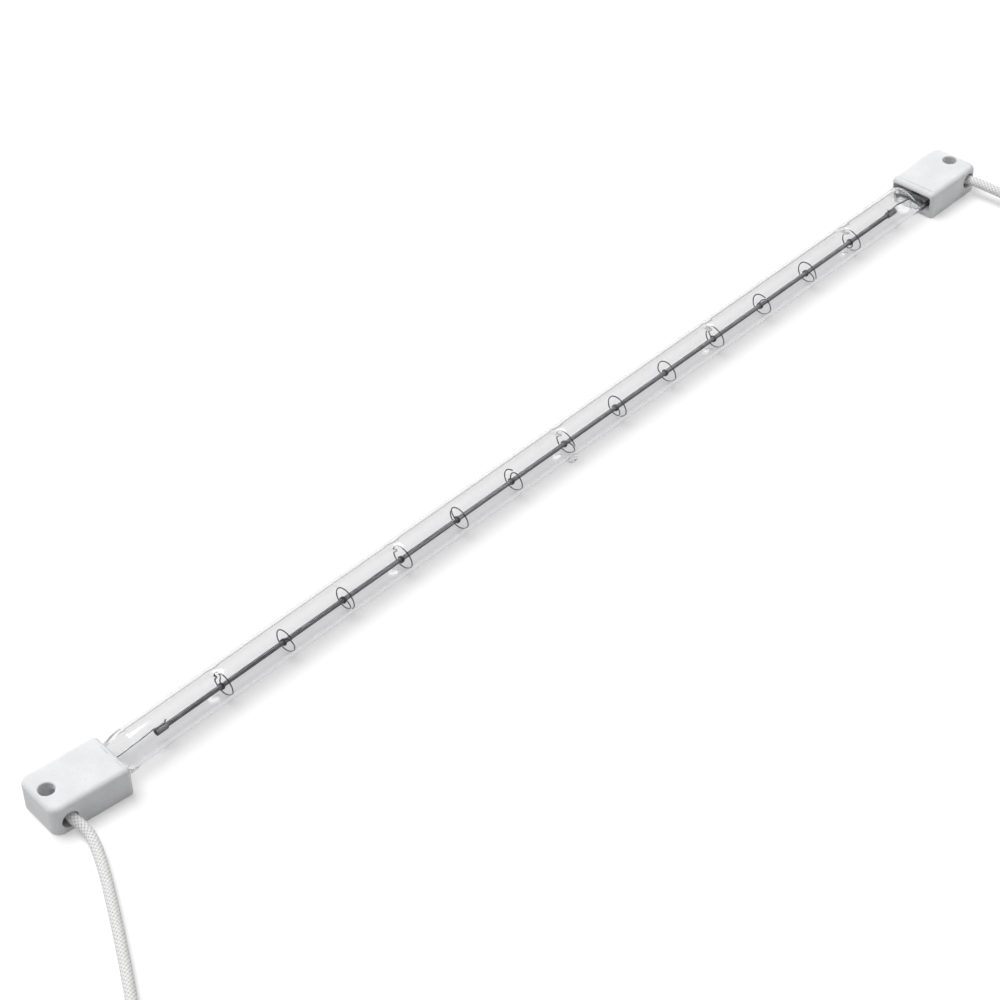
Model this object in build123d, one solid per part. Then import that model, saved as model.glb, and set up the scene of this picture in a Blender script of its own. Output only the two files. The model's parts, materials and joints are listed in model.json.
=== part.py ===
from build123d import *
import math
import os

# Infrared quartz heating tube: a clear quartz tube with flat pinched ends, a tungsten coil
# carried on spiral wire supports, a ceramic cap on each end and a braided lead from each cap.
# Millimetres, +Z up. X runs along the tube. The origin lies midway between the caps, on the
# surface that the flat undersides of the caps rest on. Both leads leave on the -Y side.

# Whole lamp
LAMP_LENGTH = 370.0

# Quartz tube
TUBE_OD = 10.6
TUBE_WALL = 1.0
TUBE_LIFT = 0.1  # daylight under the tube
SHOULDER_LENGTH = 6.4  # from the round tube to the flat pinch
SHOULDER_INSET = 0.6  # how far inside the cap's mouth the shoulder ends
PINCH_WIDTH = 12.2
PINCH_THICKNESS = 3.0
PINCH_EDGE = 1.1
PINCH_GRIP = 6.65  # length of pinch inside the cap
BORE_END_WALL = 1.4  # quartz beside the bore where it ends in the pinch
BORE_END_HEIGHT = 0.9
SEAL_GAP = 0.05  # between the quartz and what is sealed in it
SEAL_SIDES = 8

# Dimples that steady every third support, at the top and the bottom of the tube
DIMPLE_DIAMETER = 3.0
DIMPLE_FLOOR = 1.2  # width of the bottom of the dent
DIMPLE_DEPTH = 0.7
DIMPLE_SIDES = 6
DIMPLE_SHIFT = -1.2
DIMPLE_EVERY = 3

# Exhaust tip, where the tube was pumped and sealed off
TIP_DIAMETER = 2.9
TIP_HEIGHT = 1.45
TIP_BASE_DIAMETER = 4.6
TIP_BELOW_LEVEL = 45.0  # degrees below the horizontal

# Filament and its supports
COIL_OD = 1.4
COIL_BORE = 0.8
COIL_SIDES = 16
COIL_INSET_LEFT = 7.4  # from the end of the round tube to the end of the coil
COIL_INSET_RIGHT = 4.0
SUPPORT_COUNT = 13
SUPPORT_INSET = 22.1  # from each end of the coil to the nearest support
RING_OD = 7.0
RING_WIRE = 0.32
RING_STEP = 0.7  # from the middle of the hub to the plane of the loop
RING_GAP = 0.05  # to the coil inside and to the bore below
RING_LEAN = 45.0  # degrees from straight down, towards the leads, where the loops touch the bore
LOOP_TURN = 77.0  # each loop starts this much further round than the last
HUB_LENGTH = 0.64  # two wraps of wire, side by side
HUB_SIDES = 8
LOOP_SIDES = 16
LOOP_GAP = 0.9  # between the start of a loop and its free end

# Coil ends and the conductors through the seal
WIRE_SIDES = 6
SLEEVE_WALL = 0.28
SLEEVE_LENGTH = 3.5
SLEEVE_GAP = 0.02
INNER_LEAD_DIAMETER = 0.44
INNER_LEAD_LAP = 3.0  # length of wire lying on the sleeve
INNER_LEAD_TAIL = 0.8
INNER_LEAD_RISE = 0.35  # hump in the wire just before the sleeve
INNER_LEAD_BEND = 0.5
FOIL_WIDTH = 3.0
FOIL_THICKNESS = 0.1
FOIL_INSET = 0.7  # from the start of the pinch
FOIL_COVER = 1.15  # quartz between the foil and the end of the pinch
FOIL_LAP = 0.9  # length of wire lying on the foil
PIN_DIAMETER = 0.8
PIN_STUB = 0.6  # straight length between the pinch and the first bend
PIN_SLANT = 1.6
PIN_BEND = 0.5
FERRULE_LENGTH = 3.2
FERRULE_WALL = 0.5
FERRULE_SIDES = 16
FERRULE_BORE_GAP = 0.06  # round the pin
FERRULE_GAP = 0.3  # from the pin's second bend to the ferrule

# Ceramic caps
CAP_LENGTH = 23.0
CAP_OUTER_CORNER = 2.6
CAP_MOUTH_CORNER = 1.1
CAP_TOP_EDGE = 0.95
CAP_LOW_EDGE = 0.5
CAP_SIDE_WALL = 1.15
CAP_TOP_WALL = 1.5
CAVITY_CORNER = 0.8
CAVITY_BACK = 0.3  # between the cavity and the boss round the screw hole
SCREW_HOLE_DIAMETER = 4.3
SCREW_END_WALL = 1.45  # from the hole to the outer end
BOSS_WALL = 0.9
EXIT_CLEARANCE = 0.9  # all round the lead
EXIT_INSET = 4.6
EXIT_LIFT = 0.6  # above mid-height on the right-hand cap, below it on the left-hand one
RIM_CHAMFER = 0.4
CAP_TURN_LEFT = -6.6  # degrees that the left cap sits askew
CEMENT_INSET = 4.4  # from the cap's mouth to the cement
CEMENT_SIDE = 0.8  # cement beside the pinch
CEMENT_TOP = 1.4  # cement above and below the pinch
CEMENT_SHORT = 0.2  # cement stops this far before the end of the pinch

# Leads
LEAD_DIAMETER = 3.0
LEAD_LINE_LEFT = -3.2  # across the lamp, where each lead starts beside the boss
LEAD_LINE_RIGHT = -4.0
LEAD_EXIT_SHIFT = 0.5  # right-hand lead, off the middle of its exit
BEND_SHARE = 0.45  # share of a run that the arc at each of its ends takes
STOW_RADIUS = 16.5  # middle of the turns of the put-away length
STOW_LAYERS = 2
STOW_SIDES = 36
CORD_SIDES = 8
TIE_WIDTH = 3.0
TIE_THICKNESS = 0.4
TIE_GAP = 0.15
TERMINAL_BARREL_LENGTH = 6.0
TERMINAL_BARREL_WALL = 0.35
TERMINAL_PLATE = 0.8
TERMINAL_NECK = 2.0
TERMINAL_NECK_WIDTH = 3.0
TERMINAL_BORE = 2.4
TERMINAL_RING_OD = 7.6
TERMINAL_HOLE = 4.3
TERMINAL_SIDES = 16

# Heights and stations that follow from the sizes above
TUBE_RADIUS = TUBE_OD / 2
BORE_RADIUS = TUBE_RADIUS - TUBE_WALL
BORE_END_WIDTH = PINCH_WIDTH - 2 * BORE_END_WALL
TUBE_Z = TUBE_RADIUS + TUBE_LIFT
CAVITY_WIDTH = PINCH_WIDTH + 2 * CEMENT_SIDE
CAVITY_HEIGHT = PINCH_THICKNESS + 2 * CEMENT_TOP
CAP_WIDTH = CAVITY_WIDTH + 2 * CAP_SIDE_WALL
CAP_HEIGHT = CAVITY_HEIGHT + 2 * CAP_TOP_WALL
CAP_Z = CAP_HEIGHT / 2
RING_ROOM = BORE_RADIUS - RING_OD / 2 - RING_GAP
FILAMENT_Y = -RING_ROOM * math.sin(math.radians(RING_LEAN))
FILAMENT_Z = TUBE_Z - RING_ROOM * math.cos(math.radians(RING_LEAN))
CAP_X = (LAMP_LENGTH - CAP_LENGTH) / 2
MOUTH_X = CAP_X - CAP_LENGTH / 2
PINCH_START_X = MOUTH_X + SHOULDER_INSET
PINCH_END_X = MOUTH_X + PINCH_GRIP
BARREL_X = PINCH_START_X - SHOULDER_LENGTH
BORE_END_X = PINCH_START_X - TUBE_WALL
COIL_LEFT_X = COIL_INSET_LEFT - BARREL_X
COIL_RIGHT_X = BARREL_X - COIL_INSET_RIGHT
SUPPORT_SPAN = COIL_RIGHT_X - COIL_LEFT_X - 2 * SUPPORT_INSET
SUPPORT_PITCH = SUPPORT_SPAN / (SUPPORT_COUNT - 1)
BOSS_RADIUS = SCREW_HOLE_DIAMETER / 2 + BOSS_WALL
SCREW_U = CAP_LENGTH / 2 - SCREW_END_WALL - SCREW_HOLE_DIAMETER / 2
EXIT_DIAMETER = LEAD_DIAMETER + 2 * EXIT_CLEARANCE
EXIT_U = CAP_LENGTH / 2 - EXIT_INSET
CAVITY_DEPTH = CAP_LENGTH / 2 + SCREW_U - BOSS_RADIUS - CAVITY_BACK
SLEEVE_OD = COIL_OD + 2 * (SLEEVE_GAP + SLEEVE_WALL)
FOIL_START_X = PINCH_START_X + FOIL_INSET
FOIL_END_X = PINCH_END_X - FOIL_COVER
FOIL_LENGTH = FOIL_END_X - FOIL_START_X
FOIL_TOP = CAP_Z + FOIL_THICKNESS / 2 + SLEEVE_GAP
INNER_LEAD_Z = FOIL_TOP + INNER_LEAD_DIAMETER / 2
PIN_Z = FOIL_TOP + PIN_DIAMETER / 2
FERRULE_START_X = PINCH_END_X + PIN_STUB + PIN_SLANT + FERRULE_GAP
FERRULE_END_X = FERRULE_START_X + FERRULE_LENGTH
FERRULE_OD = PIN_DIAMETER + 2 * (FERRULE_BORE_GAP + FERRULE_WALL)
CAP_PIVOT_X = MOUTH_X + (CEMENT_INSET + PINCH_GRIP) / 2
TUBE_AXIS = Axis((0, 0, TUBE_Z), (1, 0, 0))
STOW_BASE = TIE_THICKNESS + TIE_GAP
STOW_HEIGHT = STOW_LAYERS * LEAD_DIAMETER
STOW_LOW = STOW_BASE + LEAD_DIAMETER / 2
STOW_TOP = STOW_BASE + STOW_HEIGHT - LEAD_DIAMETER / 2
LEAD_FLOOR = LEAD_DIAMETER / 2
TERMINAL_Z = LEAD_DIAMETER / 2 + TERMINAL_BARREL_WALL


def across_tube(x, z):
    """Plane across the tube at x, its middle at height z, with local x along +Y."""
    return Plane(origin=(x, 0, z), x_dir=(0, 1, 0), z_dir=(1, 0, 0))


def rod(radius, x_from, x_to, y, z):
    """Round bar along X."""
    return extrude(Plane(origin=(x_from, y, z), z_dir=(1, 0, 0)) * Circle(radius), x_to - x_from)


def faceted_rod(radius, x_from, x_to, y, z, sides):
    """Many-sided bar along X."""
    end = Plane(origin=(x_from, y, z), z_dir=(1, 0, 0))
    return extrude(end * RegularPolygon(radius, sides), x_to - x_from)


def wire_along(points, bends, diameter):
    """Wire through the points, with a tangent arc at each inner point."""
    path = FilletPolyline(*points, radius=bends)
    section = Plane(origin=path @ 0, z_dir=path % 0) * RegularPolygon(diameter / 2, WIRE_SIDES)
    return sweep(section, path=path)


def other_end(shape):
    """The same piece for the left end of the lamp."""
    return mirror(shape, about=Plane.YZ)


def support_x(index):
    """Station of a support's hub along the tube."""
    return COIL_LEFT_X + SUPPORT_INSET + index * SUPPORT_PITCH


# Quartz tube


def tube_envelope():
    """Outside of the tube: round barrel, a shoulder and a flat pinch at each end."""
    barrel = rod(TUBE_RADIUS, -BARREL_X, BARREL_X, 0, TUBE_Z)
    flat = RectangleRounded(PINCH_WIDTH, PINCH_THICKNESS, PINCH_EDGE)
    shoulder = loft(
        [
            across_tube(BARREL_X, TUBE_Z) * Circle(TUBE_RADIUS),
            across_tube(PINCH_START_X, CAP_Z) * flat,
        ]
    )
    pinch = extrude(across_tube(PINCH_START_X, CAP_Z) * flat, PINCH_END_X - PINCH_START_X)
    end = shoulder + pinch
    return barrel + end + other_end(end)


def tube_bore():
    """Hollow of the tube, which narrows to a flat wedge at each end."""
    middle = rod(BORE_RADIUS, -BARREL_X, BARREL_X, 0, TUBE_Z)
    slit = Ellipse(BORE_END_WIDTH / 2, BORE_END_HEIGHT / 2)
    wedge = loft(
        [
            across_tube(BARREL_X, TUBE_Z) * Circle(BORE_RADIUS),
            across_tube(BORE_END_X, CAP_Z) * slit,
        ]
    )
    return middle + wedge + other_end(wedge)


def seal_pocket():
    """Room in the right-hand pinch for the foil and the two wires that lie on it."""
    foil = Pos((FOIL_START_X + FOIL_END_X) / 2, 0, CAP_Z) * Box(
        FOIL_LENGTH + 2 * SEAL_GAP, FOIL_WIDTH + 2 * SEAL_GAP, FOIL_THICKNESS + 2 * SEAL_GAP
    )
    inner = faceted_rod(
        INNER_LEAD_DIAMETER / 2 + SEAL_GAP,
        BORE_END_X - TUBE_WALL,
        FOIL_START_X + FOIL_LAP + SEAL_GAP,
        0,
        INNER_LEAD_Z,
        SEAL_SIDES,
    )
    outer = faceted_rod(
        PIN_DIAMETER / 2 + SEAL_GAP,
        FOIL_END_X - FOIL_LAP - SEAL_GAP,
        PINCH_END_X,
        0,
        PIN_Z,
        SEAL_SIDES,
    )
    return foil + inner + outer


def exhaust_tip():
    """Rounded nub on a short cone, pointing down on the lead side."""
    slope = math.radians(TIP_BELOW_LEVEL)
    root = Plane(
        origin=(support_x((SUPPORT_COUNT - 1) // 2), 0, TUBE_Z),
        x_dir=(1, 0, 0),
        z_dir=(0, -math.cos(slope), -math.sin(slope)),
    )
    nub_centre = TUBE_RADIUS + TIP_HEIGHT - TIP_DIAMETER / 2
    skirt_base = BORE_RADIUS + TUBE_WALL / 2
    skirt_top = nub_centre + TIP_DIAMETER / 4
    skirt = Pos(0, 0, (skirt_base + skirt_top) / 2) * Cone(
        TIP_BASE_DIAMETER / 2, TIP_DIAMETER * 0.4, skirt_top - skirt_base
    )
    nub = Pos(0, 0, nub_centre) * Sphere(TIP_DIAMETER / 2)
    return root * (skirt + nub) - rod(BORE_RADIUS, -BARREL_X, BARREL_X, 0, TUBE_Z)


def dimple(index, turn):
    """One dimple, turned from the bottom: the swelling in the wall and the dent outside it."""
    root = Pos(support_x(index) + DIMPLE_SHIFT, 0, TUBE_LIFT)
    rim, floor = DIMPLE_DIAMETER / 2, DIMPLE_FLOOR / 2
    slope = math.degrees(math.atan2(rim - floor, DIMPLE_DEPTH))
    dent = extrude(root * RegularPolygon(rim, DIMPLE_SIDES), DIMPLE_DEPTH, taper=slope)
    swelling = extrude(
        root * RegularPolygon(rim + TUBE_WALL, DIMPLE_SIDES), DIMPLE_DEPTH + TUBE_WALL, taper=slope
    )
    return swelling.rotate(TUBE_AXIS, turn), dent.rotate(TUBE_AXIS, turn)


def quartz_tube():
    """Clear tube with its pinches, dimples, exhaust tip and the rooms for the seals."""
    envelope = tube_envelope()
    tube = envelope - tube_bore()
    dents = []
    for index in range(0, SUPPORT_COUNT, DIMPLE_EVERY):
        for turn in (0, 180):
            swelling, dent = dimple(index, turn)
            tube = tube + (swelling & envelope)
            dents.append(dent)
    tube = tube + exhaust_tip()
    pocket = seal_pocket()
    return tube - dents - pocket - other_end(pocket)


# Filament and supports


def filament_coil():
    """Envelope of the tightly wound tungsten coil."""
    stretch = (COIL_LEFT_X, COIL_RIGHT_X, FILAMENT_Y, FILAMENT_Z, COIL_SIDES)
    return faceted_rod(COIL_OD / 2, *stretch) - faceted_rod(COIL_BORE / 2, *stretch)


def wire_ring(x, radius, width, sides):
    """Ring of support wire round the filament's axis, by the middle of the wire."""
    outside = RegularPolygon(radius + RING_WIRE / 2, sides)
    inside = RegularPolygon(radius - RING_WIRE / 2, sides)
    return extrude(across_tube(x - width / 2, FILAMENT_Z) * (outside - inside), width)


def support_ring(index):
    """Wire wrapped round the coil, led outwards and bent into an open loop."""
    hub_x = support_x(index)
    loop_x = hub_x + RING_STEP
    hub_radius = COIL_OD / 2 + 2 * RING_GAP + RING_WIRE / 2
    loop_radius = (RING_OD - RING_WIRE) / 2
    hub = wire_ring(hub_x, hub_radius, HUB_LENGTH, HUB_SIDES)
    free_end = Pos(loop_x, -(LOOP_GAP + RING_WIRE) / 2, FILAMENT_Z + loop_radius)
    gap = free_end * Box(2 * RING_WIRE, LOOP_GAP, 2 * RING_WIRE)
    loop = wire_ring(loop_x, loop_radius, RING_WIRE, LOOP_SIDES) - gap
    leg_start = Vector(hub_x, 0, FILAMENT_Z + hub_radius)
    leg_end = Vector(loop_x, 0, FILAMENT_Z + loop_radius)
    leg_plane = Plane(origin=leg_start, x_dir=(0, 1, 0), z_dir=leg_end - leg_start)
    leg = extrude(leg_plane * Rectangle(RING_WIRE, RING_WIRE), (leg_end - leg_start).length)
    turned = (hub + loop + leg).rotate(Axis((0, 0, FILAMENT_Z), (1, 0, 0)), index * LOOP_TURN)
    return Pos(0, FILAMENT_Y, 0) * turned


def coil_end(side):
    """Station where the filament ends, on the left (-1) or the right (1)."""
    return COIL_LEFT_X if side < 0 else COIL_RIGHT_X


def coil_end_sleeve(side):
    """Sleeve round the last turns of the filament."""
    outer_end = coil_end(side)
    ends = sorted((outer_end, outer_end - side * SLEEVE_LENGTH))
    stretch = (*ends, FILAMENT_Y, FILAMENT_Z, COIL_SIDES)
    return faceted_rod(SLEEVE_OD / 2, *stretch) - faceted_rod(COIL_OD / 2 + SLEEVE_GAP, *stretch)


def inner_lead(side):
    """Wire from the foil, over a hump, along the top of the sleeve to a turned-up end."""
    over_sleeve = FILAMENT_Z + SLEEVE_OD / 2 + SLEEVE_GAP + INNER_LEAD_DIAMETER / 2
    sleeve_outer = coil_end(side)
    hump_x = sleeve_outer + side * 2 * INNER_LEAD_BEND
    tail_x = sleeve_outer - side * INNER_LEAD_LAP
    points = [
        (side * (FOIL_START_X + FOIL_LAP), 0, INNER_LEAD_Z),
        (side * (BORE_END_X - TUBE_WALL), 0, INNER_LEAD_Z),
        (hump_x, FILAMENT_Y, over_sleeve + INNER_LEAD_RISE),
        (sleeve_outer - side * INNER_LEAD_BEND, FILAMENT_Y, over_sleeve),
        (tail_x, FILAMENT_Y, over_sleeve),
        (tail_x - side * INNER_LEAD_BEND, FILAMENT_Y, over_sleeve + INNER_LEAD_TAIL),
    ]
    return wire_along(points, INNER_LEAD_BEND, INNER_LEAD_DIAMETER)


# Seal and splice, made for the right-hand end


def seal_foil():
    """Molybdenum foil in the middle of the pinch."""
    middle = Pos((FOIL_START_X + FOIL_END_X) / 2, 0, CAP_Z)
    return middle * Box(FOIL_LENGTH, FOIL_WIDTH, FOIL_THICKNESS)


def outer_pin(lead_line):
    """Wire from the foil out of the pinch, slanting over to the ferrule."""
    bend_x = PINCH_END_X + PIN_STUB
    points = [
        (FOIL_END_X - FOIL_LAP, 0, PIN_Z),
        (bend_x, 0, PIN_Z),
        (bend_x + PIN_SLANT, lead_line, PIN_Z),
        (FERRULE_END_X, lead_line, PIN_Z),
    ]
    return wire_along(points, PIN_BEND, PIN_DIAMETER)


def splice_ferrule(lead_line):
    """Crimp tube that joins the pin to the lead's strands."""
    stretch = (FERRULE_START_X, FERRULE_END_X, lead_line, PIN_Z, FERRULE_SIDES)
    bore = faceted_rod(PIN_DIAMETER / 2 + FERRULE_BORE_GAP, *stretch)
    return faceted_rod(FERRULE_OD / 2, *stretch) - bore


# Ceramic caps, shaped at the right-hand end


def cap_cavity(u_from, u_to):
    """Stretch of the rectangular hollow that takes the pinch, by distance from the cap's middle."""
    opening = RectangleRounded(CAVITY_WIDTH, CAVITY_HEIGHT, CAVITY_CORNER)
    return extrude(across_tube(CAP_X + u_from, CAP_Z) * opening, u_to - u_from)


def lead_passage(exit_z):
    """Room for the lead beside the boss, and the round exit on the lead side at height exit_z."""
    u_from = CAVITY_DEPTH - CAP_LENGTH / 2 - CAVITY_CORNER
    u_to = EXIT_U + EXIT_DIAMETER / 2
    room = Pos(CAP_X + (u_from + u_to) / 2, -CAVITY_WIDTH / 4, CAP_Z) * Box(
        u_to - u_from, CAVITY_WIDTH / 2, CAVITY_HEIGHT
    )
    boss = Pos(CAP_X + SCREW_U, 0, CAP_Z) * Cylinder(BOSS_RADIUS, CAP_HEIGHT)
    wall = Plane(origin=(CAP_X + EXIT_U, -CAP_WIDTH / 2, exit_z), z_dir=(0, 1, 0))
    hole = extrude(wall * Circle(EXIT_DIAMETER / 2), 2 * CAP_SIDE_WALL)
    rim = Pos(0, 0, RIM_CHAMFER / 2) * Cone(
        EXIT_DIAMETER / 2 + RIM_CHAMFER, EXIT_DIAMETER / 2, RIM_CHAMFER
    )
    return room - boss + hole + wall * rim


def screw_hole():
    """Through hole at the outer end, with its top rim broken."""
    radius = SCREW_HOLE_DIAMETER / 2
    hole = Pos(0, 0, CAP_Z) * Cylinder(radius, CAP_HEIGHT)
    rim = Pos(0, 0, CAP_HEIGHT - RIM_CHAMFER / 2) * Cone(radius, radius + RIM_CHAMFER, RIM_CHAMFER)
    return Pos(CAP_X + SCREW_U, 0, 0) * (hole + rim)


def ceramic_cap(exit_z):
    """Rounded block with an open mouth, a screw hole and a side exit for the lead at height exit_z."""
    outline = Rectangle(CAP_LENGTH, CAP_WIDTH)
    outline = fillet(outline.vertices().group_by(Axis.X)[-1], CAP_OUTER_CORNER)
    outline = fillet(outline.vertices().group_by(Axis.X)[0], CAP_MOUTH_CORNER)
    block = Pos(CAP_X, 0, 0) * extrude(outline, CAP_HEIGHT)
    block = chamfer(block.faces().sort_by(Axis.Z)[-1].edges(), CAP_TOP_EDGE)
    block = chamfer(block.faces().sort_by(Axis.Z)[0].edges(), CAP_LOW_EDGE)
    cavity = cap_cavity(-CAP_LENGTH / 2, CAVITY_DEPTH - CAP_LENGTH / 2)
    return block - cavity - lead_passage(exit_z) - screw_hole()


def turned_left(shape):
    """A cap piece mirrored to the left end and turned askew about the cement."""
    return other_end(shape).rotate(Axis((-CAP_PIVOT_X, 0, 0), (0, 0, 1)), CAP_TURN_LEFT)


def cement_block():
    """Slice of the cap's hollow that the cement fills, before the pinch is taken out."""
    start = CEMENT_INSET - CAP_LENGTH / 2
    return cap_cavity(start, start + PINCH_GRIP - CEMENT_SHORT - CEMENT_INSET)


# Leads


def left_exit():
    """Middle of the exit's mouth in the askew left cap, along and across the lamp."""
    turn = math.radians(CAP_TURN_LEFT)
    along = CAP_PIVOT_X - (CAP_X + EXIT_U)
    x = along * math.cos(turn) + CAP_WIDTH / 2 * math.sin(turn) - CAP_PIVOT_X
    y = along * math.sin(turn) - CAP_WIDTH / 2 * math.cos(turn)
    return x, y


def right_exit():
    """Middle of the exit's mouth in the right cap, along and across the lamp."""
    return CAP_X + EXIT_U, -CAP_WIDTH / 2


def lead_route(start_x, line, bend_x, mouth, onward):
    """Points of a lead: from its ferrule to the bend in the cap, out of the mouth and onward."""
    outside = [(mouth[0] + along, mouth[1] + across, z) for along, across, z in onward]
    return [(start_x, line, PIN_Z), (bend_x, line, PIN_Z)] + outside


def largest_bends(points):
    """Radius at each inner point: as large as its two runs allow."""
    spots = [Vector(*point) for point in points]
    bends = []
    for before, here, after in zip(spots, spots[1:], spots[2:]):
        shorter = min((here - before).length, (after - here).length)
        turn = math.radians((here - before).get_angle(after - here))
        bends.append(BEND_SHARE * shorter / math.tan(turn / 2))
    return bends


def cord_tube(name, points):
    """Round cord along straight runs and the largest arcs that fit between them."""
    bends = largest_bends(points)
    path = FilletPolyline(*points, radius=bends)
    section = Plane(origin=path @ 0, z_dir=path % 0) * RegularPolygon(LEAD_DIAMETER / 2, CORD_SIDES)
    tube = sweep(section, path=path)
    ideal = section.area * path.length
    print(name, "length", round(path.length, 1), "volume ratio", round(tube.volume / ideal, 4))
    print(name, "radii", [round(bend, 1) for bend in bends])
    return tube


def heading_before(points):
    """Level direction of the last run of a route."""
    run = Vector(*points[-1]) - Vector(*points[-2])
    return Vector(run.X, run.Y, 0).normalized()


class Stow:
    """Put-away turns of a lead: where they lie and how the lead leaves them."""

    def __init__(self, route, turning, turns):
        """Place the turns so that the route runs into them; turning is 1 for anticlockwise."""
        self.turning = turning
        heading = heading_before(route)
        inward = Vector(-heading.Y, heading.X, 0) * turning
        entry = Vector(*route[-1])
        self.centre = Vector(entry.X, entry.Y, 0) + inward * STOW_RADIUS
        self.entry_angle = math.atan2(-inward.Y, -inward.X)
        self.leave_angle = self.entry_angle + turning * turns * 2 * math.pi

    def spot(self, angle, ahead=0.0, aside=0.0, z=0.0):
        """Place reached by going straight ahead off the turn, and aside away from the middle."""
        out = Vector(math.cos(angle), math.sin(angle), 0)
        onward = Vector(-out.Y, out.X, 0) * self.turning
        place = self.centre + out * (STOW_RADIUS + aside) + onward * ahead
        return place.X, place.Y, z

    def solid(self):
        """Closed ring of the outer shape of the turns."""
        outside = RegularPolygon(STOW_RADIUS + LEAD_DIAMETER / 2, STOW_SIDES)
        inside = RegularPolygon(STOW_RADIUS - LEAD_DIAMETER / 2, STOW_SIDES)
        return Pos(self.centre.X, self.centre.Y, STOW_BASE) * extrude(outside - inside, STOW_HEIGHT)

    def tie(self, angle):
        """Flat band round the turns."""
        room_width = LEAD_DIAMETER + 2 * TIE_GAP
        room_height = STOW_HEIGHT + 2 * TIE_GAP
        band = Box(room_width + 2 * TIE_THICKNESS, TIE_WIDTH, room_height + 2 * TIE_THICKNESS)
        room = Box(room_width, TIE_WIDTH, room_height)
        middle = Pos(STOW_RADIUS, 0, STOW_BASE + STOW_HEIGHT / 2)
        return Pos(self.centre.X, self.centre.Y, 0) * Rot(0, 0, angle) * middle * (band - room)

    def tail_route(self):
        """Points of the loose end: off the top turn, down to the surface and straight on."""
        return [self.spot(self.leave_angle, *step) for step in TAIL_STEPS]


def ring_terminal(route):
    """Crimped ring terminal, its plate flat on the surface, on the end of a lead."""
    heading = heading_before(route)
    end = Vector(*route[-1])
    frame = Plane(origin=(end.X, end.Y, 0), x_dir=(heading.X, heading.Y, 0), z_dir=(0, 0, 1))
    radius = LEAD_DIAMETER / 2 + TERMINAL_BARREL_WALL
    stretch = (0, TERMINAL_BARREL_LENGTH, 0, TERMINAL_Z, TERMINAL_SIDES)
    bore = faceted_rod(TERMINAL_BORE / 2, *stretch)
    barrel = faceted_rod(radius, *stretch) - bore
    ring_x = TERMINAL_BARREL_LENGTH + TERMINAL_NECK + TERMINAL_RING_OD / 2
    neck_from = TERMINAL_BARREL_LENGTH - TERMINAL_NECK
    neck = Pos((neck_from + ring_x) / 2, 0, TERMINAL_PLATE / 2) * Box(
        ring_x - neck_from, TERMINAL_NECK_WIDTH, TERMINAL_PLATE
    )
    spot = Pos(ring_x, 0, 0)
    ring = extrude(spot * RegularPolygon(TERMINAL_RING_OD / 2, TERMINAL_SIDES), TERMINAL_PLATE)
    hole = extrude(spot * RegularPolygon(TERMINAL_HOLE / 2, TERMINAL_SIDES), TERMINAL_PLATE)
    terminal = barrel + (neck - bore) + ring - hole
    print("terminal hole", [round(value, 2) for value in frame.from_local_coords((ring_x, 0, 0))])
    return frame * terminal


# Each lead beyond its cap: along and across the lamp from the exit, and height
LEAD_ONWARD_LEFT = [
    (1.5, -4.3, 2.1),
    (-0.8, -10.5, LEAD_FLOOR),
    (-5.1, -18.5, LEAD_FLOOR),
    (-10.5, -27.6, LEAD_FLOOR),
    (-16.7, -37.7, LEAD_FLOOR),
    (-23.3, -48.1, LEAD_FLOOR),
    (-30.0, -58.2, LEAD_FLOOR),
    (-36.2, -66.9, LEAD_FLOOR + 0.2),
    (-42.8, -75.3, STOW_LOW),
]
LEAD_ONWARD_RIGHT = [
    (1.05, -3.95, 5.0),
    (1.45, -11.45, 4.6),
    (3.15, -18.95, 3.2),
    (6.55, -26.15, 1.9),
    (11.75, -32.35, LEAD_FLOOR),
    (18.15, -37.35, STOW_LOW),
]
# Loose end of a lead: ahead off the turn, aside from it, and height
TAIL_STEPS = [
    (0.0, 0.0, STOW_TOP),
    (8.0, 0.3, STOW_TOP - 0.1),
    (15.0, 1.1, STOW_TOP - 1.8),
    (21.0, 2.2, TERMINAL_Z),
    (26.0, 3.5, TERMINAL_Z),
]
LEAD_ROUTE_LEFT = lead_route(
    -FERRULE_END_X, LEAD_LINE_LEFT, left_exit()[0], left_exit(), LEAD_ONWARD_LEFT
)
LEAD_ROUTE_RIGHT = lead_route(
    FERRULE_END_X,
    LEAD_LINE_RIGHT,
    right_exit()[0] + LEAD_EXIT_SHIFT,
    right_exit(),
    LEAD_ONWARD_RIGHT,
)
STOW_LEFT = Stow(LEAD_ROUTE_LEFT, turning=-1, turns=1.5)
STOW_RIGHT = Stow(LEAD_ROUTE_RIGHT, turning=1, turns=2.0)
TIE_ANGLE_LEFT = 215.0
TIE_ANGLE_RIGHT = 20.0


def up_to(cord, turns):
    """The cord as far as the put-away turns, without the slivers that the cut leaves."""
    return (cord - turns).solids().sort_by(SortBy.VOLUME)[-1]


def lead_parts(end, route, stow, tie_angle):
    """Solids of one lead by node name: its run, put-away turns, tie, loose end and terminal."""
    turns = stow.solid()
    tail_route = stow.tail_route()
    return {
        f"lead_{end}": up_to(cord_tube(f"lead_{end}", route), turns),
        f"lead_coil_{end}": turns,
        f"lead_tie_{end}": stow.tie(tie_angle),
        f"lead_tail_{end}": up_to(cord_tube(f"lead_tail_{end}", tail_route), turns),
        f"lead_terminal_{end}": ring_terminal(tail_route),
    }


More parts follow.
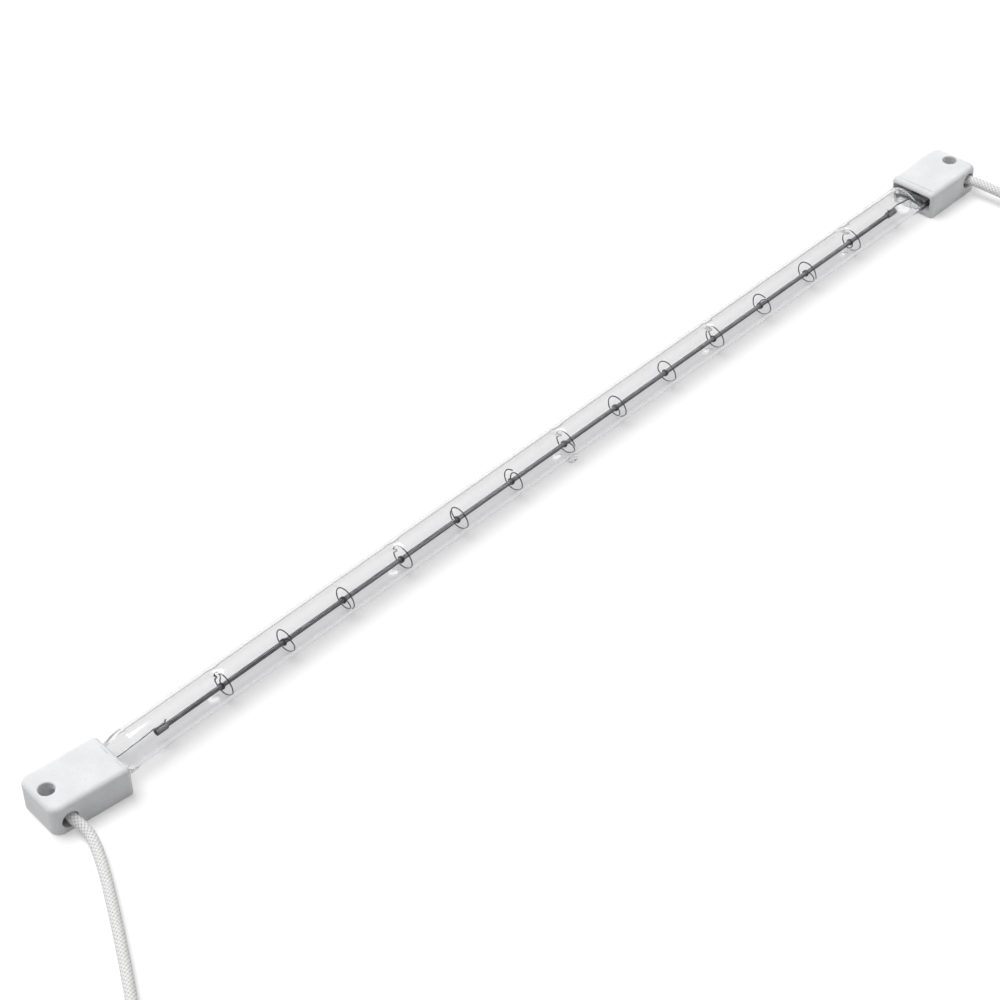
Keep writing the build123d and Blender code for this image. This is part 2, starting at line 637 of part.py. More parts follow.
def all_parts():
    """Every solid of the lamp by node name."""
    envelope = tube_envelope()
    parts = {"quartz_tube": quartz_tube(), "filament_coil": filament_coil()}
    for index in range(SUPPORT_COUNT):
        parts[f"support_ring_{index + 1:02d}"] = support_ring(index)
    for end, side in (("left", -1), ("right", 1)):
        parts[f"coil_end_sleeve_{end}"] = coil_end_sleeve(side)
        parts[f"inner_lead_{end}"] = inner_lead(side)
    parts["seal_foil_right"] = seal_foil()
    parts["seal_foil_left"] = other_end(seal_foil())
    for name, maker in (("outer_pin", outer_pin), ("splice_ferrule", splice_ferrule)):
        parts[f"{name}_right"] = maker(LEAD_LINE_RIGHT)
        parts[f"{name}_left"] = other_end(maker(LEAD_LINE_LEFT))
    parts["ceramic_cap_right"] = ceramic_cap(CAP_Z + EXIT_LIFT)
    parts["ceramic_cap_left"] = turned_left(ceramic_cap(CAP_Z - EXIT_LIFT))
    cement = cement_block()
    parts["cement_right"] = cement - envelope
    parts["cement_left"] = turned_left(cement) - envelope
    parts.update(lead_parts("left", LEAD_ROUTE_LEFT, STOW_LEFT, TIE_ANGLE_LEFT))
    parts.update(lead_parts("right", LEAD_ROUTE_RIGHT, STOW_RIGHT, TIE_ANGLE_RIGHT))
    return parts


os.makedirs("parts", exist_ok=True)
for node, solid in all_parts().items():
    export_step(solid, f"parts/{node}.step")
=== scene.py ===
"""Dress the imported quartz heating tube: clear quartz, wound filament, ceramic caps and braided leads."""

from __future__ import annotations

import json
import logging
import math
from collections.abc import Callable, Iterable, Sequence
from dataclasses import dataclass, field
from enum import Enum

import bmesh
import bpy
from mathutils import Matrix, Vector

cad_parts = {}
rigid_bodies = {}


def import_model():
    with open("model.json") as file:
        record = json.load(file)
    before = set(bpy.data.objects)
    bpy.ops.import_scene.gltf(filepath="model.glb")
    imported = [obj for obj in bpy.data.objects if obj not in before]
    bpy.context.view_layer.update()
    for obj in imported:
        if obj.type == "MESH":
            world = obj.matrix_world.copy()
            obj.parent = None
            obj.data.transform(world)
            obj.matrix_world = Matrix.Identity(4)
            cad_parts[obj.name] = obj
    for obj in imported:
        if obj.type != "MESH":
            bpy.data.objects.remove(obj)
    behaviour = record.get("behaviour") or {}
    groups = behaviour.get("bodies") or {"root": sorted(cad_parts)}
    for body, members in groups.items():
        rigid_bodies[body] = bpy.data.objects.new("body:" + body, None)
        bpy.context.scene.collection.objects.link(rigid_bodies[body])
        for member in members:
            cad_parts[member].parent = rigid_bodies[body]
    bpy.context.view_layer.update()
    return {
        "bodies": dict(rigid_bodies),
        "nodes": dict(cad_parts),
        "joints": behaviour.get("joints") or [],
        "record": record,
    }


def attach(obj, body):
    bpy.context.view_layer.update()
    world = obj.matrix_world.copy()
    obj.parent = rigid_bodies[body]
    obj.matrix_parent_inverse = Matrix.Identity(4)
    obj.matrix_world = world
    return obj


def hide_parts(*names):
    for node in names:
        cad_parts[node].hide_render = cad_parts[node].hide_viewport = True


LOG = logging.getLogger("heating_tube")
MM = 0.001
NEAR = 0.01 * MM
MERGE = 0.001 * MM
ROOT = "root"

Point = tuple[float, float, float]
Colour = tuple[float, float, float, float]

WHITE: Colour = (1.0, 1.0, 1.0, 1.0)


class End(Enum):
    """An end of the lamp, with the sign of its side along X."""

    LEFT = -1
    RIGHT = 1

    @property
    def label(self) -> str:
        """Word used in the names of nodes and pieces."""
        return self.name.lower()


class Slot(Enum):
    """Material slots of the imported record."""

    QUARTZ = "quartz"
    TUNGSTEN = "tungsten"
    MOLYBDENUM = "molybdenum"
    NICKEL = "nickel"
    CERAMIC = "ceramic"
    CEMENT = "cement"
    BRAID = "braid"
    TIE = "tie"


def mm(*values: float) -> tuple[float, ...]:
    """Lengths in millimetres as metres."""
    return tuple(value * MM for value in values)


def lerp(start: float, end: float, share: float) -> float:
    """Value a given share of the way from start to end."""
    return start + (end - start) * share


def smooth(share: float) -> float:
    """Ease a share from 0 to 1 in and out."""
    share = min(max(share, 0.0), 1.0)
    return share * share * (3.0 - 2.0 * share)


class Bench:
    """Small helpers for modelling by operators on one active object."""

    @staticmethod
    def clear() -> None:
        """Leave edit mode and deselect everything."""
        if bpy.context.object and bpy.context.object.mode != "OBJECT":
            bpy.ops.object.mode_set(mode="OBJECT")
        bpy.ops.object.select_all(action="DESELECT")

    @staticmethod
    def pick(*objects: bpy.types.Object) -> None:
        """Select these objects alone and make the first one active.

        Args:
            objects: Objects to select.
        """
        Bench.clear()
        for obj in objects:
            obj.select_set(True)
        bpy.context.view_layer.objects.active = objects[0]

    @staticmethod
    def choose(
        obj: bpy.types.Object,
        kind: str,
        test: Callable[[bmesh.types.BMVert | bmesh.types.BMEdge], bool],
    ) -> None:
        """Select in edit mode the elements that pass a test.

        Args:
            obj: Object in edit mode.
            kind: VERT or EDGE.
            test: True for each element to select.
        """
        bpy.ops.mesh.select_mode(type=kind)
        bpy.ops.mesh.select_all(action="DESELECT")
        form = bmesh.from_edit_mesh(obj.data)
        for element in form.verts if kind == "VERT" else form.edges:
            if test(element):
                element.select_set(True)
        form.select_flush_mode()
        bmesh.update_edit_mesh(obj.data)

    @staticmethod
    def choose_ring(obj: bpy.types.Object, axis: int, level: float) -> None:
        """Select in edit mode the ring of edges on a plane across an axis.

        Args:
            obj: Object in edit mode.
            axis: 0, 1 or 2 for X, Y or Z.
            level: Where the plane crosses the axis, in metres.
        """
        Bench.choose(obj, "VERT", lambda v: abs(v.co[axis] - level) < NEAR)
        bpy.ops.mesh.select_mode(type="EDGE")

    @staticmethod
    def edit(obj: bpy.types.Object) -> None:
        """Open an object for editing."""
        Bench.pick(obj)
        bpy.ops.object.mode_set(mode="EDIT")

    @staticmethod
    def settle(obj: bpy.types.Object, name: str) -> bpy.types.Object:
        """Name an object and move its place into its mesh.

        Args:
            obj: Finished object.
            name: Name of the piece.

        Returns:
            The same object, at the origin.
        """
        Bench.pick(obj)
        bpy.ops.object.transform_apply(location=True, rotation=True, scale=True)
        obj.name = name
        obj.data.name = name
        return obj

    @staticmethod
    def apply_modifiers(obj: bpy.types.Object) -> None:
        """Apply every modifier of an object, in order.

        Args:
            obj: Object to finish.
        """
        Bench.pick(obj)
        for modifier in list(obj.modifiers):
            bpy.ops.object.modifier_apply(modifier=modifier.name)

    @staticmethod
    def copy(obj: bpy.types.Object, name: str, turn: Matrix) -> bpy.types.Object:
        """Copy an object with its own mesh, moved by a matrix.

        Args:
            obj: Object to copy.
            name: Name of the copy.
            turn: Where the copy goes.

        Returns:
            The copy, at the origin.
        """
        twin = obj.copy()
        twin.data = obj.data.copy()
        bpy.context.collection.objects.link(twin)
        twin.matrix_world = turn @ obj.matrix_world
        return Bench.settle(twin, name)

    @staticmethod
    def outward(obj: bpy.types.Object) -> None:
        """Merge doubles and point every face outwards.

        Args:
            obj: Closed object.
        """
        Bench.edit(obj)
        bpy.ops.mesh.select_all(action="SELECT")
        bpy.ops.mesh.remove_doubles(threshold=MERGE)
        bpy.ops.mesh.normals_make_consistent(inside=False)
        Bench.clear()

    @staticmethod
    def fill(obj: bpy.types.Object, sides: int = 0) -> None:
        """Close the open ends of an object.

        Args:
            obj: Object with open ends.
            sides: Most sides that an end may have, or 0 for any number.
        """
        Bench.edit(obj)
        bpy.ops.mesh.select_all(action="SELECT")
        bpy.ops.mesh.fill_holes(sides=sides)
        Bench.clear()

    @staticmethod
    def remove(obj: bpy.types.Object) -> None:
        """Delete an object."""
        Bench.pick(obj)
        bpy.ops.object.delete()

    @staticmethod
    def nurbs(points: Sequence[Point], steps: int) -> bpy.types.Object:
        """Add a smooth curve that follows control points.

        Args:
            points: Control points in metres.
            steps: Steps between neighbouring points.

        Returns:
            The curve.
        """
        Bench.clear()
        bpy.ops.curve.primitive_nurbs_path_add()
        curve = bpy.context.object
        curve.data.splines.clear()
        spline = curve.data.splines.new("NURBS")
        spline.points.add(len(points) - 1)
        for knot, place in zip(spline.points, points):
            knot.co = (*place, 1.0)
        spline.order_u = 3
        spline.use_endpoint_u = True
        spline.resolution_u = steps
        curve.data.dimensions = "3D"
        return curve

    @staticmethod
    def round_off(obj: bpy.types.Object, angle: float) -> None:
        """Shade smoothly, with creases sharper than an angle kept.

        Args:
            obj: Object to shade.
            angle: Largest smooth angle in degrees.
        """
        Bench.pick(obj)
        bpy.ops.object.shade_smooth_by_angle(angle=math.radians(angle))

    @staticmethod
    def cut(obj: bpy.types.Object, cutter: bpy.types.Object) -> None:
        """Take one object out of another and delete it.

        Args:
            obj: Object that loses material.
            cutter: Closed object to take out.
        """
        Bench.pick(obj)
        modifier = obj.modifiers.new("cut", "BOOLEAN")
        modifier.operation = "DIFFERENCE"
        modifier.solver = "EXACT"
        modifier.object = cutter
        bpy.ops.object.modifier_apply(modifier=modifier.name)
        Bench.remove(cutter)


class Graph:
    """Thin wrapper that builds and links shader nodes."""

    def __init__(self, tree: bpy.types.NodeTree) -> None:
        """Start on an empty node tree.

        Args:
            tree: Tree to fill.
        """
        self.tree = tree
        tree.nodes.clear()

    def node(self, kind: str, **settings: object) -> bpy.types.Node:
        """Add a node.

        Args:
            kind: Node type name without the ShaderNode prefix.
            settings: Attributes to set.

        Returns:
            The new node.
        """
        made = self.tree.nodes.new(kind if kind.startswith("Node") else "ShaderNode" + kind)
        for key, value in settings.items():
            setattr(made, key, value)
        return made

    def feed(self, node: bpy.types.Node, **values: object) -> bpy.types.Node:
        """Set input sockets by name, with underscores for spaces.

        Args:
            node: Node to set.
            values: Socket values, or output sockets to link.

        Returns:
            The same node.
        """
        for key, value in values.items():
            socket = node.inputs[key.replace("_", " ")]
            if isinstance(value, bpy.types.NodeSocket):
                self.tree.links.new(value, socket)
            else:
                socket.default_value = value
        return node

    def link(self, source: bpy.types.NodeSocket, target: bpy.types.NodeSocket) -> None:
        """Join two sockets."""
        self.tree.links.new(source, target)

    def math(self, operation: str, first: object, second: object = 0.0) -> bpy.types.NodeSocket:
        """Add a Math node.

        Args:
            operation: Name of the operation.
            first: First value or socket.
            second: Second value or socket.

        Returns:
            Its output.
        """
        made = self.node("Math", operation=operation)
        for socket, value in zip(made.inputs, (first, second)):
            if isinstance(value, bpy.types.NodeSocket):
                self.link(value, socket)
            else:
                socket.default_value = value
        return made.outputs[0]

    def noise(self, place: bpy.types.NodeSocket, scale: object, detail: float) -> bpy.types.NodeSocket:
        """Add a noise texture.

        Args:
            place: Coordinates.
            scale: Scale value or socket.
            detail: Number of finer layers.

        Returns:
            Its value.
        """
        made = self.feed(self.node("TexNoise"), Vector=place, Scale=scale, Detail=detail)
        return made.outputs["Fac"]

    def bump(self, height: bpy.types.NodeSocket, strength: float, depth: float) -> bpy.types.NodeSocket:
        """Add a bump.

        Args:
            height: Height of the relief.
            strength: Share of the relief that shows.
            depth: Depth of the relief in millimetres.

        Returns:
            Its normal.
        """
        made = self.feed(self.node("Bump"), Height=height, Strength=strength, Distance=depth * MM)
        return made.outputs["Normal"]

    def mix(self, share: object, first: object, second: object) -> bpy.types.NodeSocket:
        """Mix two colours.

        Args:
            share: 0 for the first colour and 1 for the second.
            first: First colour or socket.
            second: Second colour or socket.

        Returns:
            The mixed colour.
        """
        made = self.node("Mix", data_type="RGBA")
        return self.feed(made, Factor=share, A=first, B=second).outputs["Result"]

    def ease(
        self, value: bpy.types.NodeSocket, start: float, end: float, **levels: object
    ) -> bpy.types.NodeSocket:
        """Ease from one level to another while a value runs from start to end.

        Args:
            value: Value to read.
            start: Value at the first level.
            end: Value at the second level.
            levels: Levels other than 0 and 1, by the names of their sockets.

        Returns:
            The level.
        """
        made = self.node("MapRange", interpolation_type="SMOOTHSTEP")
        return self.feed(made, Value=value, From_Min=start, From_Max=end, **levels).outputs["Result"]

    def choose(self, share: object, plain: object, other: object) -> bpy.types.NodeSocket:
        """Choose between two values.

        Args:
            share: 0 for the plain value and 1 for the other.
            plain: Plain value or socket.
            other: Other value or socket.

        Returns:
            The chosen value.
        """
        made = self.node("MapRange")
        return self.feed(made, Value=share, To_Min=plain, To_Max=other).outputs["Result"]

    def ramp(
        self, share: bpy.types.NodeSocket, stops: Sequence[tuple[float, Colour]]
    ) -> bpy.types.NodeSocket:
        """Add a colour ramp.

        Args:
            share: Value that picks the colour.
            stops: Places and colours, in order.

        Returns:
            Its colour output.
        """
        made = self.node("ValToRGB")
        elements = made.color_ramp.elements
        elements[0].position, elements[0].color = stops[0]
        elements[1].position, elements[1].color = stops[-1]
        for place, colour in stops[1:-1]:
            elements.new(place).color = colour
        self.link(share, made.inputs["Fac"])
        return made.outputs["Color"]


class SurfaceGroups:
    """Shader node groups that several finishes share, each built once."""

    GRAIN_SHARE = 0.6
    PALE_RANGE = (0.55, 1.1)
    SPECK_SCALE = 0.32
    SPECK_RANGE = (0.05, 0.16)
    SPECK_SHARE = 0.55
    GRAIN_ROUGHNESS = 0.18
    PATCH_ROUGHNESS = 0.25

    def __init__(self) -> None:
        """Build the groups."""
        self.grain = self._grain()
        self.drawn = self._drawn()

    @staticmethod
    def _group(
        name: str, inputs: Iterable[tuple[str, str, object]], outputs: Iterable[tuple[str, str]]
    ) -> tuple[bpy.types.NodeTree, Graph, bpy.types.Node, bpy.types.Node]:
        """Start a group with its sockets.

        Args:
            name: Name of the group.
            inputs: Name, socket type and default of each input.
            outputs: Name and socket type of each output.

        Returns:
            The tree, its graph, and its input and output nodes.
        """
        tree = bpy.data.node_groups.new(name, "ShaderNodeTree")
        for label, kind, value in inputs:
            socket = tree.interface.new_socket(label, in_out="INPUT", socket_type=kind)
            socket.default_value = value
        for label, kind in outputs:
            tree.interface.new_socket(label, in_out="OUTPUT", socket_type=kind)
        graph = Graph(tree)
        return tree, graph, graph.node("NodeGroupInput"), graph.node("NodeGroupOutput")

    def _grain(self) -> bpy.types.NodeTree:
        """Fired, slightly gritty surface: cloudy tint, fine pits and a few specks.

        Returns:
            The node group.
        """
        tree, graph, given, out = self._group(
            "fired_grain",
            [
                ("Pale", "NodeSocketColor", (0.9, 0.9, 0.9, 1.0)),
                ("Dull", "NodeSocketColor", (0.8, 0.8, 0.8, 1.0)),
                ("Speck", "NodeSocketColor", (0.5, 0.5, 0.5, 1.0)),
                ("Grain Scale", "NodeSocketFloat", 2600.0),
                ("Cloud Scale", "NodeSocketFloat", 160.0),
                ("Roughness", "NodeSocketFloat", 0.7),
            ],
            [
                ("Color", "NodeSocketColor"),
                ("Roughness", "NodeSocketFloat"),
                ("Height", "NodeSocketFloat"),
            ],
        )
        place = graph.node("TexCoord").outputs["Object"]
        cloud = graph.noise(place, given.outputs["Cloud Scale"], 4.0)
        grain = graph.noise(place, given.outputs["Grain Scale"], 3.0)
        fine = graph.math("MULTIPLY", given.outputs["Grain Scale"], self.SPECK_SCALE)
        speck = graph.feed(graph.node("TexVoronoi"), Vector=place, Scale=fine)
        mixed = graph.math("ADD", cloud, graph.math("MULTIPLY", grain, self.GRAIN_SHARE))
        share = graph.ease(mixed, *self.PALE_RANGE)
        tint = graph.mix(share, given.outputs["Dull"], given.outputs["Pale"])
        near, far = self.SPECK_RANGE
        spot = graph.feed(graph.node("MapRange"), Value=speck.outputs["Distance"])
        graph.feed(spot, From_Min=near, From_Max=far, To_Min=self.SPECK_SHARE, To_Max=0.0)
        final = graph.mix(spot.outputs["Result"], tint, given.outputs["Speck"])
        uneven = graph.math("MULTIPLY", grain, self.GRAIN_ROUGHNESS)
        rough = graph.math("ADD", given.outputs["Roughness"], uneven)
        graph.feed(out, Color=final, Roughness=rough, Height=grain)
        return tree

    def _drawn(self) -> bpy.types.NodeTree:
        """Drawn metal: faint streaks, with duller oxide in patches.

        Returns:
            The node group.
        """
        tree, graph, given, out = self._group(
            "drawn_metal",
            [
                ("Bright", "NodeSocketColor", (0.6, 0.6, 0.6, 1.0)),
                ("Oxide", "NodeSocketColor", (0.3, 0.3, 0.3, 1.0)),
                ("Patch Scale", "NodeSocketFloat", 500.0),
                ("Roughness", "NodeSocketFloat", 0.3),
            ],
            [
                ("Color", "NodeSocketColor"),
                ("Roughness", "NodeSocketFloat"),
                ("Height", "NodeSocketFloat"),
            ],
        )
        place = graph.node("TexCoord").outputs["Object"]
        patch = graph.noise(place, given.outputs["Patch Scale"], 5.0)
        tint = graph.mix(patch, given.outputs["Bright"], given.outputs["Oxide"])
        uneven = graph.math("MULTIPLY", patch, self.PATCH_ROUGHNESS)
        rough = graph.math("ADD", given.outputs["Roughness"], uneven)
        graph.feed(out, Color=tint, Roughness=rough, Height=patch)
        return tree


def begin_material(name: str) -> tuple[bpy.types.Material, Graph, bpy.types.Node, bpy.types.Node]:
    """Start a node material with a Principled shader on its output.

    Args:
        name: Name of the material.

    Returns:
        The material, its graph, the shader and the output node.
    """
    material = bpy.data.materials.new(name)
    material.use_nodes = True
    graph = Graph(material.node_tree)
    shader = graph.node("BsdfPrincipled")
    output = graph.node("OutputMaterial")
    graph.link(shader.outputs["BSDF"], output.inputs["Surface"])
    return material, graph, shader, output


@dataclass(frozen=True)
class FiredFinish:
    """Unglazed ceramic or cement."""

    name: str
    pale: Colour
    dull: Colour
    speck: Colour
    grain_scale: float
    cloud_scale: float
    roughness: float
    relief: float
    pit_depth: float = 0.05

    def material(self, groups: SurfaceGroups) -> bpy.types.Material:
        """Build the material.

        Args:
            groups: Shared node groups.

        Returns:
            The material.
        """
        material, graph, shader, _ = begin_material(self.name)
        grain = graph.node("Group")
        grain.node_tree = groups.grain
        graph.feed(
            grain,
            Pale=self.pale,
            Dull=self.dull,
            Speck=self.speck,
            Grain_Scale=self.grain_scale,
            Cloud_Scale=self.cloud_scale,
            Roughness=self.roughness,
        )
        graph.feed(
            shader,
            Base_Color=grain.outputs["Color"],
            Roughness=grain.outputs["Roughness"],
            Normal=graph.bump(grain.outputs["Height"], self.relief, self.pit_depth),
        )
        return material


@dataclass(frozen=True)
class MetalFinish:
    """Drawn or rolled metal, with painted shade: darker where the surface faces down."""

    name: str
    bright: Colour
    oxide: Colour
    patch_scale: float
    roughness: float
    relief: float
    # Painted shade: share of the colour kept on surfaces facing down, easing to full colour between
    # dark_below and plain_above.
    underside_painted_shade: float = 0.3
    dark_below: float = -0.1
    plain_above: float = 0.85
    streak_depth: float = 0.02

    def material(self, groups: SurfaceGroups) -> bpy.types.Material:
        """Build the material.

        Args:
            groups: Shared node groups.

        Returns:
            The material.
        """
        material, graph, shader, _ = begin_material(self.name)
        # Painted shade: the colour darkens as the surface normal turns downwards, standing for the shaded
        # underside.
        normal = graph.node("NewGeometry").outputs["Normal"]
        lift = graph.feed(graph.node("SeparateXYZ"), Vector=normal).outputs["Z"]
        shade = graph.ease(lift, self.dark_below, self.plain_above, To_Min=self.underside_painted_shade)
        drawn = graph.node("Group")
        drawn.node_tree = groups.drawn
        graph.feed(
            drawn,
            Bright=self.bright,
            Oxide=self.oxide,
            Patch_Scale=self.patch_scale,
            Roughness=self.roughness,
        )
        painted_shade_colour = graph.node("VectorMath", operation="SCALE")
        graph.feed(painted_shade_colour, Vector=drawn.outputs["Color"], Scale=shade)
        graph.feed(
            shader,
            Base_Color=painted_shade_colour.outputs["Vector"],
            Roughness=drawn.outputs["Roughness"],
            Normal=graph.bump(drawn.outputs["Height"], self.relief, self.streak_depth),
            Metallic=1.0,
        )
        return material


@dataclass(frozen=True)
class QuartzFinish:
    """Clear fused quartz that lets most of the light through to the floor."""

    name: str = "clear_quartz"
    tint: Colour = (0.9, 0.9, 0.905, 1.0)
    shade: Colour = (0.88, 0.88, 0.885, 1.0)
    rim_shade: Colour = (0.5, 0.5, 0.51, 1.0)
    rim_power: float = 3.0
    depth_limit: float = 4.5
    index: float = 1.458
    ripple_scale: float = 90.0
    ripple: float = 0.05
    ripple_depth: float = 0.2
    ripple_stretch: Point = (0.12, 1.0, 1.0)

    def material(self) -> bpy.types.Material:
        """Build the material.

        Returns:
            The material.
        """
        material, graph, shader, output = begin_material(self.name)
        place = graph.node("TexCoord").outputs["Object"]
        stretch = graph.feed(graph.node("Mapping"), Vector=place, Scale=self.ripple_stretch)
        wave = graph.noise(stretch.outputs["Vector"], self.ripple_scale, 1.0)
        graph.feed(
            shader,
            Base_Color=self.tint,
            Roughness=0.0,
            IOR=self.index,
            Transmission_Weight=1.0,
            Normal=graph.bump(wave, self.ripple, self.ripple_depth),
        )
        facing = graph.node("LayerWeight").outputs["Facing"]
        shade = graph.mix(graph.math("POWER", facing, self.rim_power), self.shade, self.rim_shade)
        clear = graph.feed(graph.node("BsdfTransparent"), Color=shade)
        light = graph.node("LightPath")
        cast = graph.math("MAXIMUM", light.outputs["Is Shadow Ray"], light.outputs["Is Diffuse Ray"])
        deep = graph.math("GREATER_THAN", light.outputs["Ray Depth"], self.depth_limit)
        choice = graph.node("MixShader")
        graph.link(graph.math("MAXIMUM", cast, deep), choice.inputs["Fac"])
        graph.link(shader.outputs["BSDF"], choice.inputs[1])
        graph.link(clear.outputs["BSDF"], choice.inputs[2])
        graph.link(choice.outputs["Shader"], output.inputs["Surface"])
        return material


@dataclass(frozen=True)
class BraidFinish:
    """Woven glass-fibre sleeving, with painted shade down between its strands and painted light on their
    crests.
    """

    name: str = "glass_braid"
    groove_painted_shade: Colour = (0.13, 0.13, 0.14, 1.0)
    strand: Colour = (0.66, 0.66, 0.66, 1.0)
    crest_painted_light: Colour = (0.93, 0.93, 0.92, 1.0)
    fibre_scale: float = 9000.0
    roughness: float = 0.62
    relief: float = 0.25
    fibre_depth: float = 0.04
    fibre_share: float = 0.18
    groove_at: float = 0.12
    strand_at: float = 0.5
    sheen: float = 0.15
    attribute: str = "weave"

    def material(self) -> bpy.types.Material:
        """Build the material.

        Returns:
            The material.
        """
        material, graph, shader, _ = begin_material(self.name)
        weave = graph.node("Attribute", attribute_name=self.attribute)
        place = graph.node("TexCoord").outputs["Object"]
        fibre = graph.noise(place, self.fibre_scale, 2.0)
        height = graph.math("ADD", weave.outputs["Fac"], graph.math("MULTIPLY", fibre, self.fibre_share))
        # Painted shade and light: the weave's height picks the tone, dark in the grooves and pale on the
        # crests.
        stops = [(self.groove_at, self.groove_painted_shade), (self.strand_at, self.strand), (1.0, self.crest_painted_light)]
        graph.feed(
            shader,
            Base_Color=graph.ramp(height, stops),
            Roughness=self.roughness,
            Normal=graph.bump(fibre, self.relief, self.fibre_depth),
            Sheen_Weight=self.sheen,
        )
        return material


@dataclass(frozen=True)
class TieFinish:
    """Pale moulded plastic of the bands round the put-away turns."""

    name: str = "tie_plastic"
    pale: Colour = (0.82, 0.82, 0.81, 1.0)
    dull: Colour = (0.74, 0.74, 0.73, 1.0)
    roughness: float = 0.45
    mottle_scale: float = 700.0
    dull_at: float = 0.3
    pale_at: float = 0.7

    def material(self) -> bpy.types.Material:
        """Build the material.

        Returns:
            The material.
        """
        material, graph, shader, _ = begin_material(self.name)
        place = graph.node("TexCoord").outputs["Object"]
        mottle = graph.noise(place, self.mottle_scale, 3.0)
        colour = graph.ramp(mottle, [(self.dull_at, self.dull), (self.pale_at, self.pale)])
        graph.feed(shader, Base_Color=colour, Roughness=self.roughness)
        return material


@dataclass(frozen=True)
class FinishRack:
    """Every finish of the lamp, as materials by record slot."""

    materials: dict[Slot, bpy.types.Material]
    support_wire_painted_shade: bpy.types.Material

    @classmethod
    def mixed(cls) -> FinishRack:
        """Build all the materials.

        Returns:
            The rack.
        """
        groups = SurfaceGroups()
        ceramic = FiredFinish(
            "white_ceramic",
            pale=(0.885, 0.89, 0.9, 1.0),
            dull=(0.81, 0.815, 0.83, 1.0),
            speck=(0.66, 0.66, 0.67, 1.0),
            grain_scale=1700.0,
            cloud_scale=140.0,
            roughness=0.62,
            relief=0.35,
        )
        cement = FiredFinish(
            "cap_cement",
            pale=(0.86, 0.855, 0.83, 1.0),
            dull=(0.74, 0.73, 0.7, 1.0),
            speck=(0.5, 0.49, 0.46, 1.0),
            grain_scale=1500.0,
            cloud_scale=420.0,
            roughness=0.75,
            relief=0.7,
        )
        tungsten = MetalFinish(
            "tungsten_wire",
            bright=(0.4, 0.4, 0.405, 1.0),
            oxide=(0.14, 0.14, 0.145, 1.0),
            patch_scale=300.0,
            roughness=0.32,
            relief=0.1,
        )
        # Painted shade: the same tungsten as the filament, made near black so that the supports show dark.
        support_wire_painted_shade = MetalFinish(
            "support_wire_painted_shade",
            bright=(0.06, 0.06, 0.062, 1.0),
            oxide=(0.025, 0.025, 0.026, 1.0),
            patch_scale=300.0,
            roughness=0.32,
            relief=0.1,
        )
        molybdenum = MetalFinish(
            "molybdenum",
            bright=(0.42, 0.42, 0.43, 1.0),
            oxide=(0.18, 0.18, 0.19, 1.0),
            patch_scale=600.0,
            roughness=0.3,
            relief=0.15,
        )
        nickel = MetalFinish(
            "nickel_plate",
            bright=(0.72, 0.7, 0.66, 1.0),
            oxide=(0.52, 0.5, 0.46, 1.0),
            patch_scale=350.0,
            roughness=0.24,
            relief=0.15,
            underside_painted_shade=0.9,
        )
        return cls(
            {
                Slot.QUARTZ: QuartzFinish().material(),
                Slot.TUNGSTEN: tungsten.material(groups),
                Slot.MOLYBDENUM: molybdenum.material(groups),
                Slot.NICKEL: nickel.material(groups),
                Slot.CERAMIC: ceramic.material(groups),
                Slot.CEMENT: cement.material(groups),
                Slot.BRAID: BraidFinish().material(),
                Slot.TIE: TieFinish().material(),
            },
            support_wire_painted_shade.material(groups),
        )

    def dress(self, obj: bpy.types.Object, slot: Slot) -> None:
        """Give an object one material all over.

        Args:
            obj: Object to dress.
            slot: Slot of the material.
        """
        obj.data.materials.clear()
        obj.data.materials.append(self.materials[slot])

    def darken(self, support: bpy.types.Object) -> None:
        """Give a support a far darker copy of the tungsten finish, as painted shade for wire that shows
        black.
        """
        support.data.materials[0] = self.support_wire_painted_shade

    def dress_solids(self, frame: dict) -> None:
        """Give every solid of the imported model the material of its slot.

        Args:
            frame: The loaded frame.
        """
        for subpart in frame["record"]["subparts"]:
            obj = frame["nodes"][subpart["node"]]
            for place in obj.material_slots:
                place.material = self.materials[Slot(subpart["material_slot"])]

    def fit(self, obj: bpy.types.Object, slot: Slot, *nodes: str) -> bpy.types.Object:
        """Dress a new piece, seat it on the lamp and let it stand for its solids.

        Args:
            obj: Finished piece.
            slot: Slot of its material.
            nodes: Solids that it replaces.

        Returns:
            The same piece.
        """
        self.dress(obj, slot)
        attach(obj, ROOT)
        if nodes:
            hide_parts(*nodes)
        LOG.info("%s: %d faces for %s", obj.name, len(obj.data.polygons), ", ".join(nodes) or "itself")
        return obj


@dataclass
class Supports:
    """Where the filament's supports stand along the tube, in millimetres."""

    first: float = -126.7
    pitch: float = 21.4
    count: int = 13
    turn: float = 77.0

    def station(self, index: int) -> float:
        """Place of a support's hub along the tube."""
        return self.first + self.pitch * index


@dataclass(frozen=True)
class WallFace:
    """One face of the tube's wall: its barrel and the flat end of its shoulders, in millimetres."""

    radius: float
    end: float
    half_width: float
    half_height: float


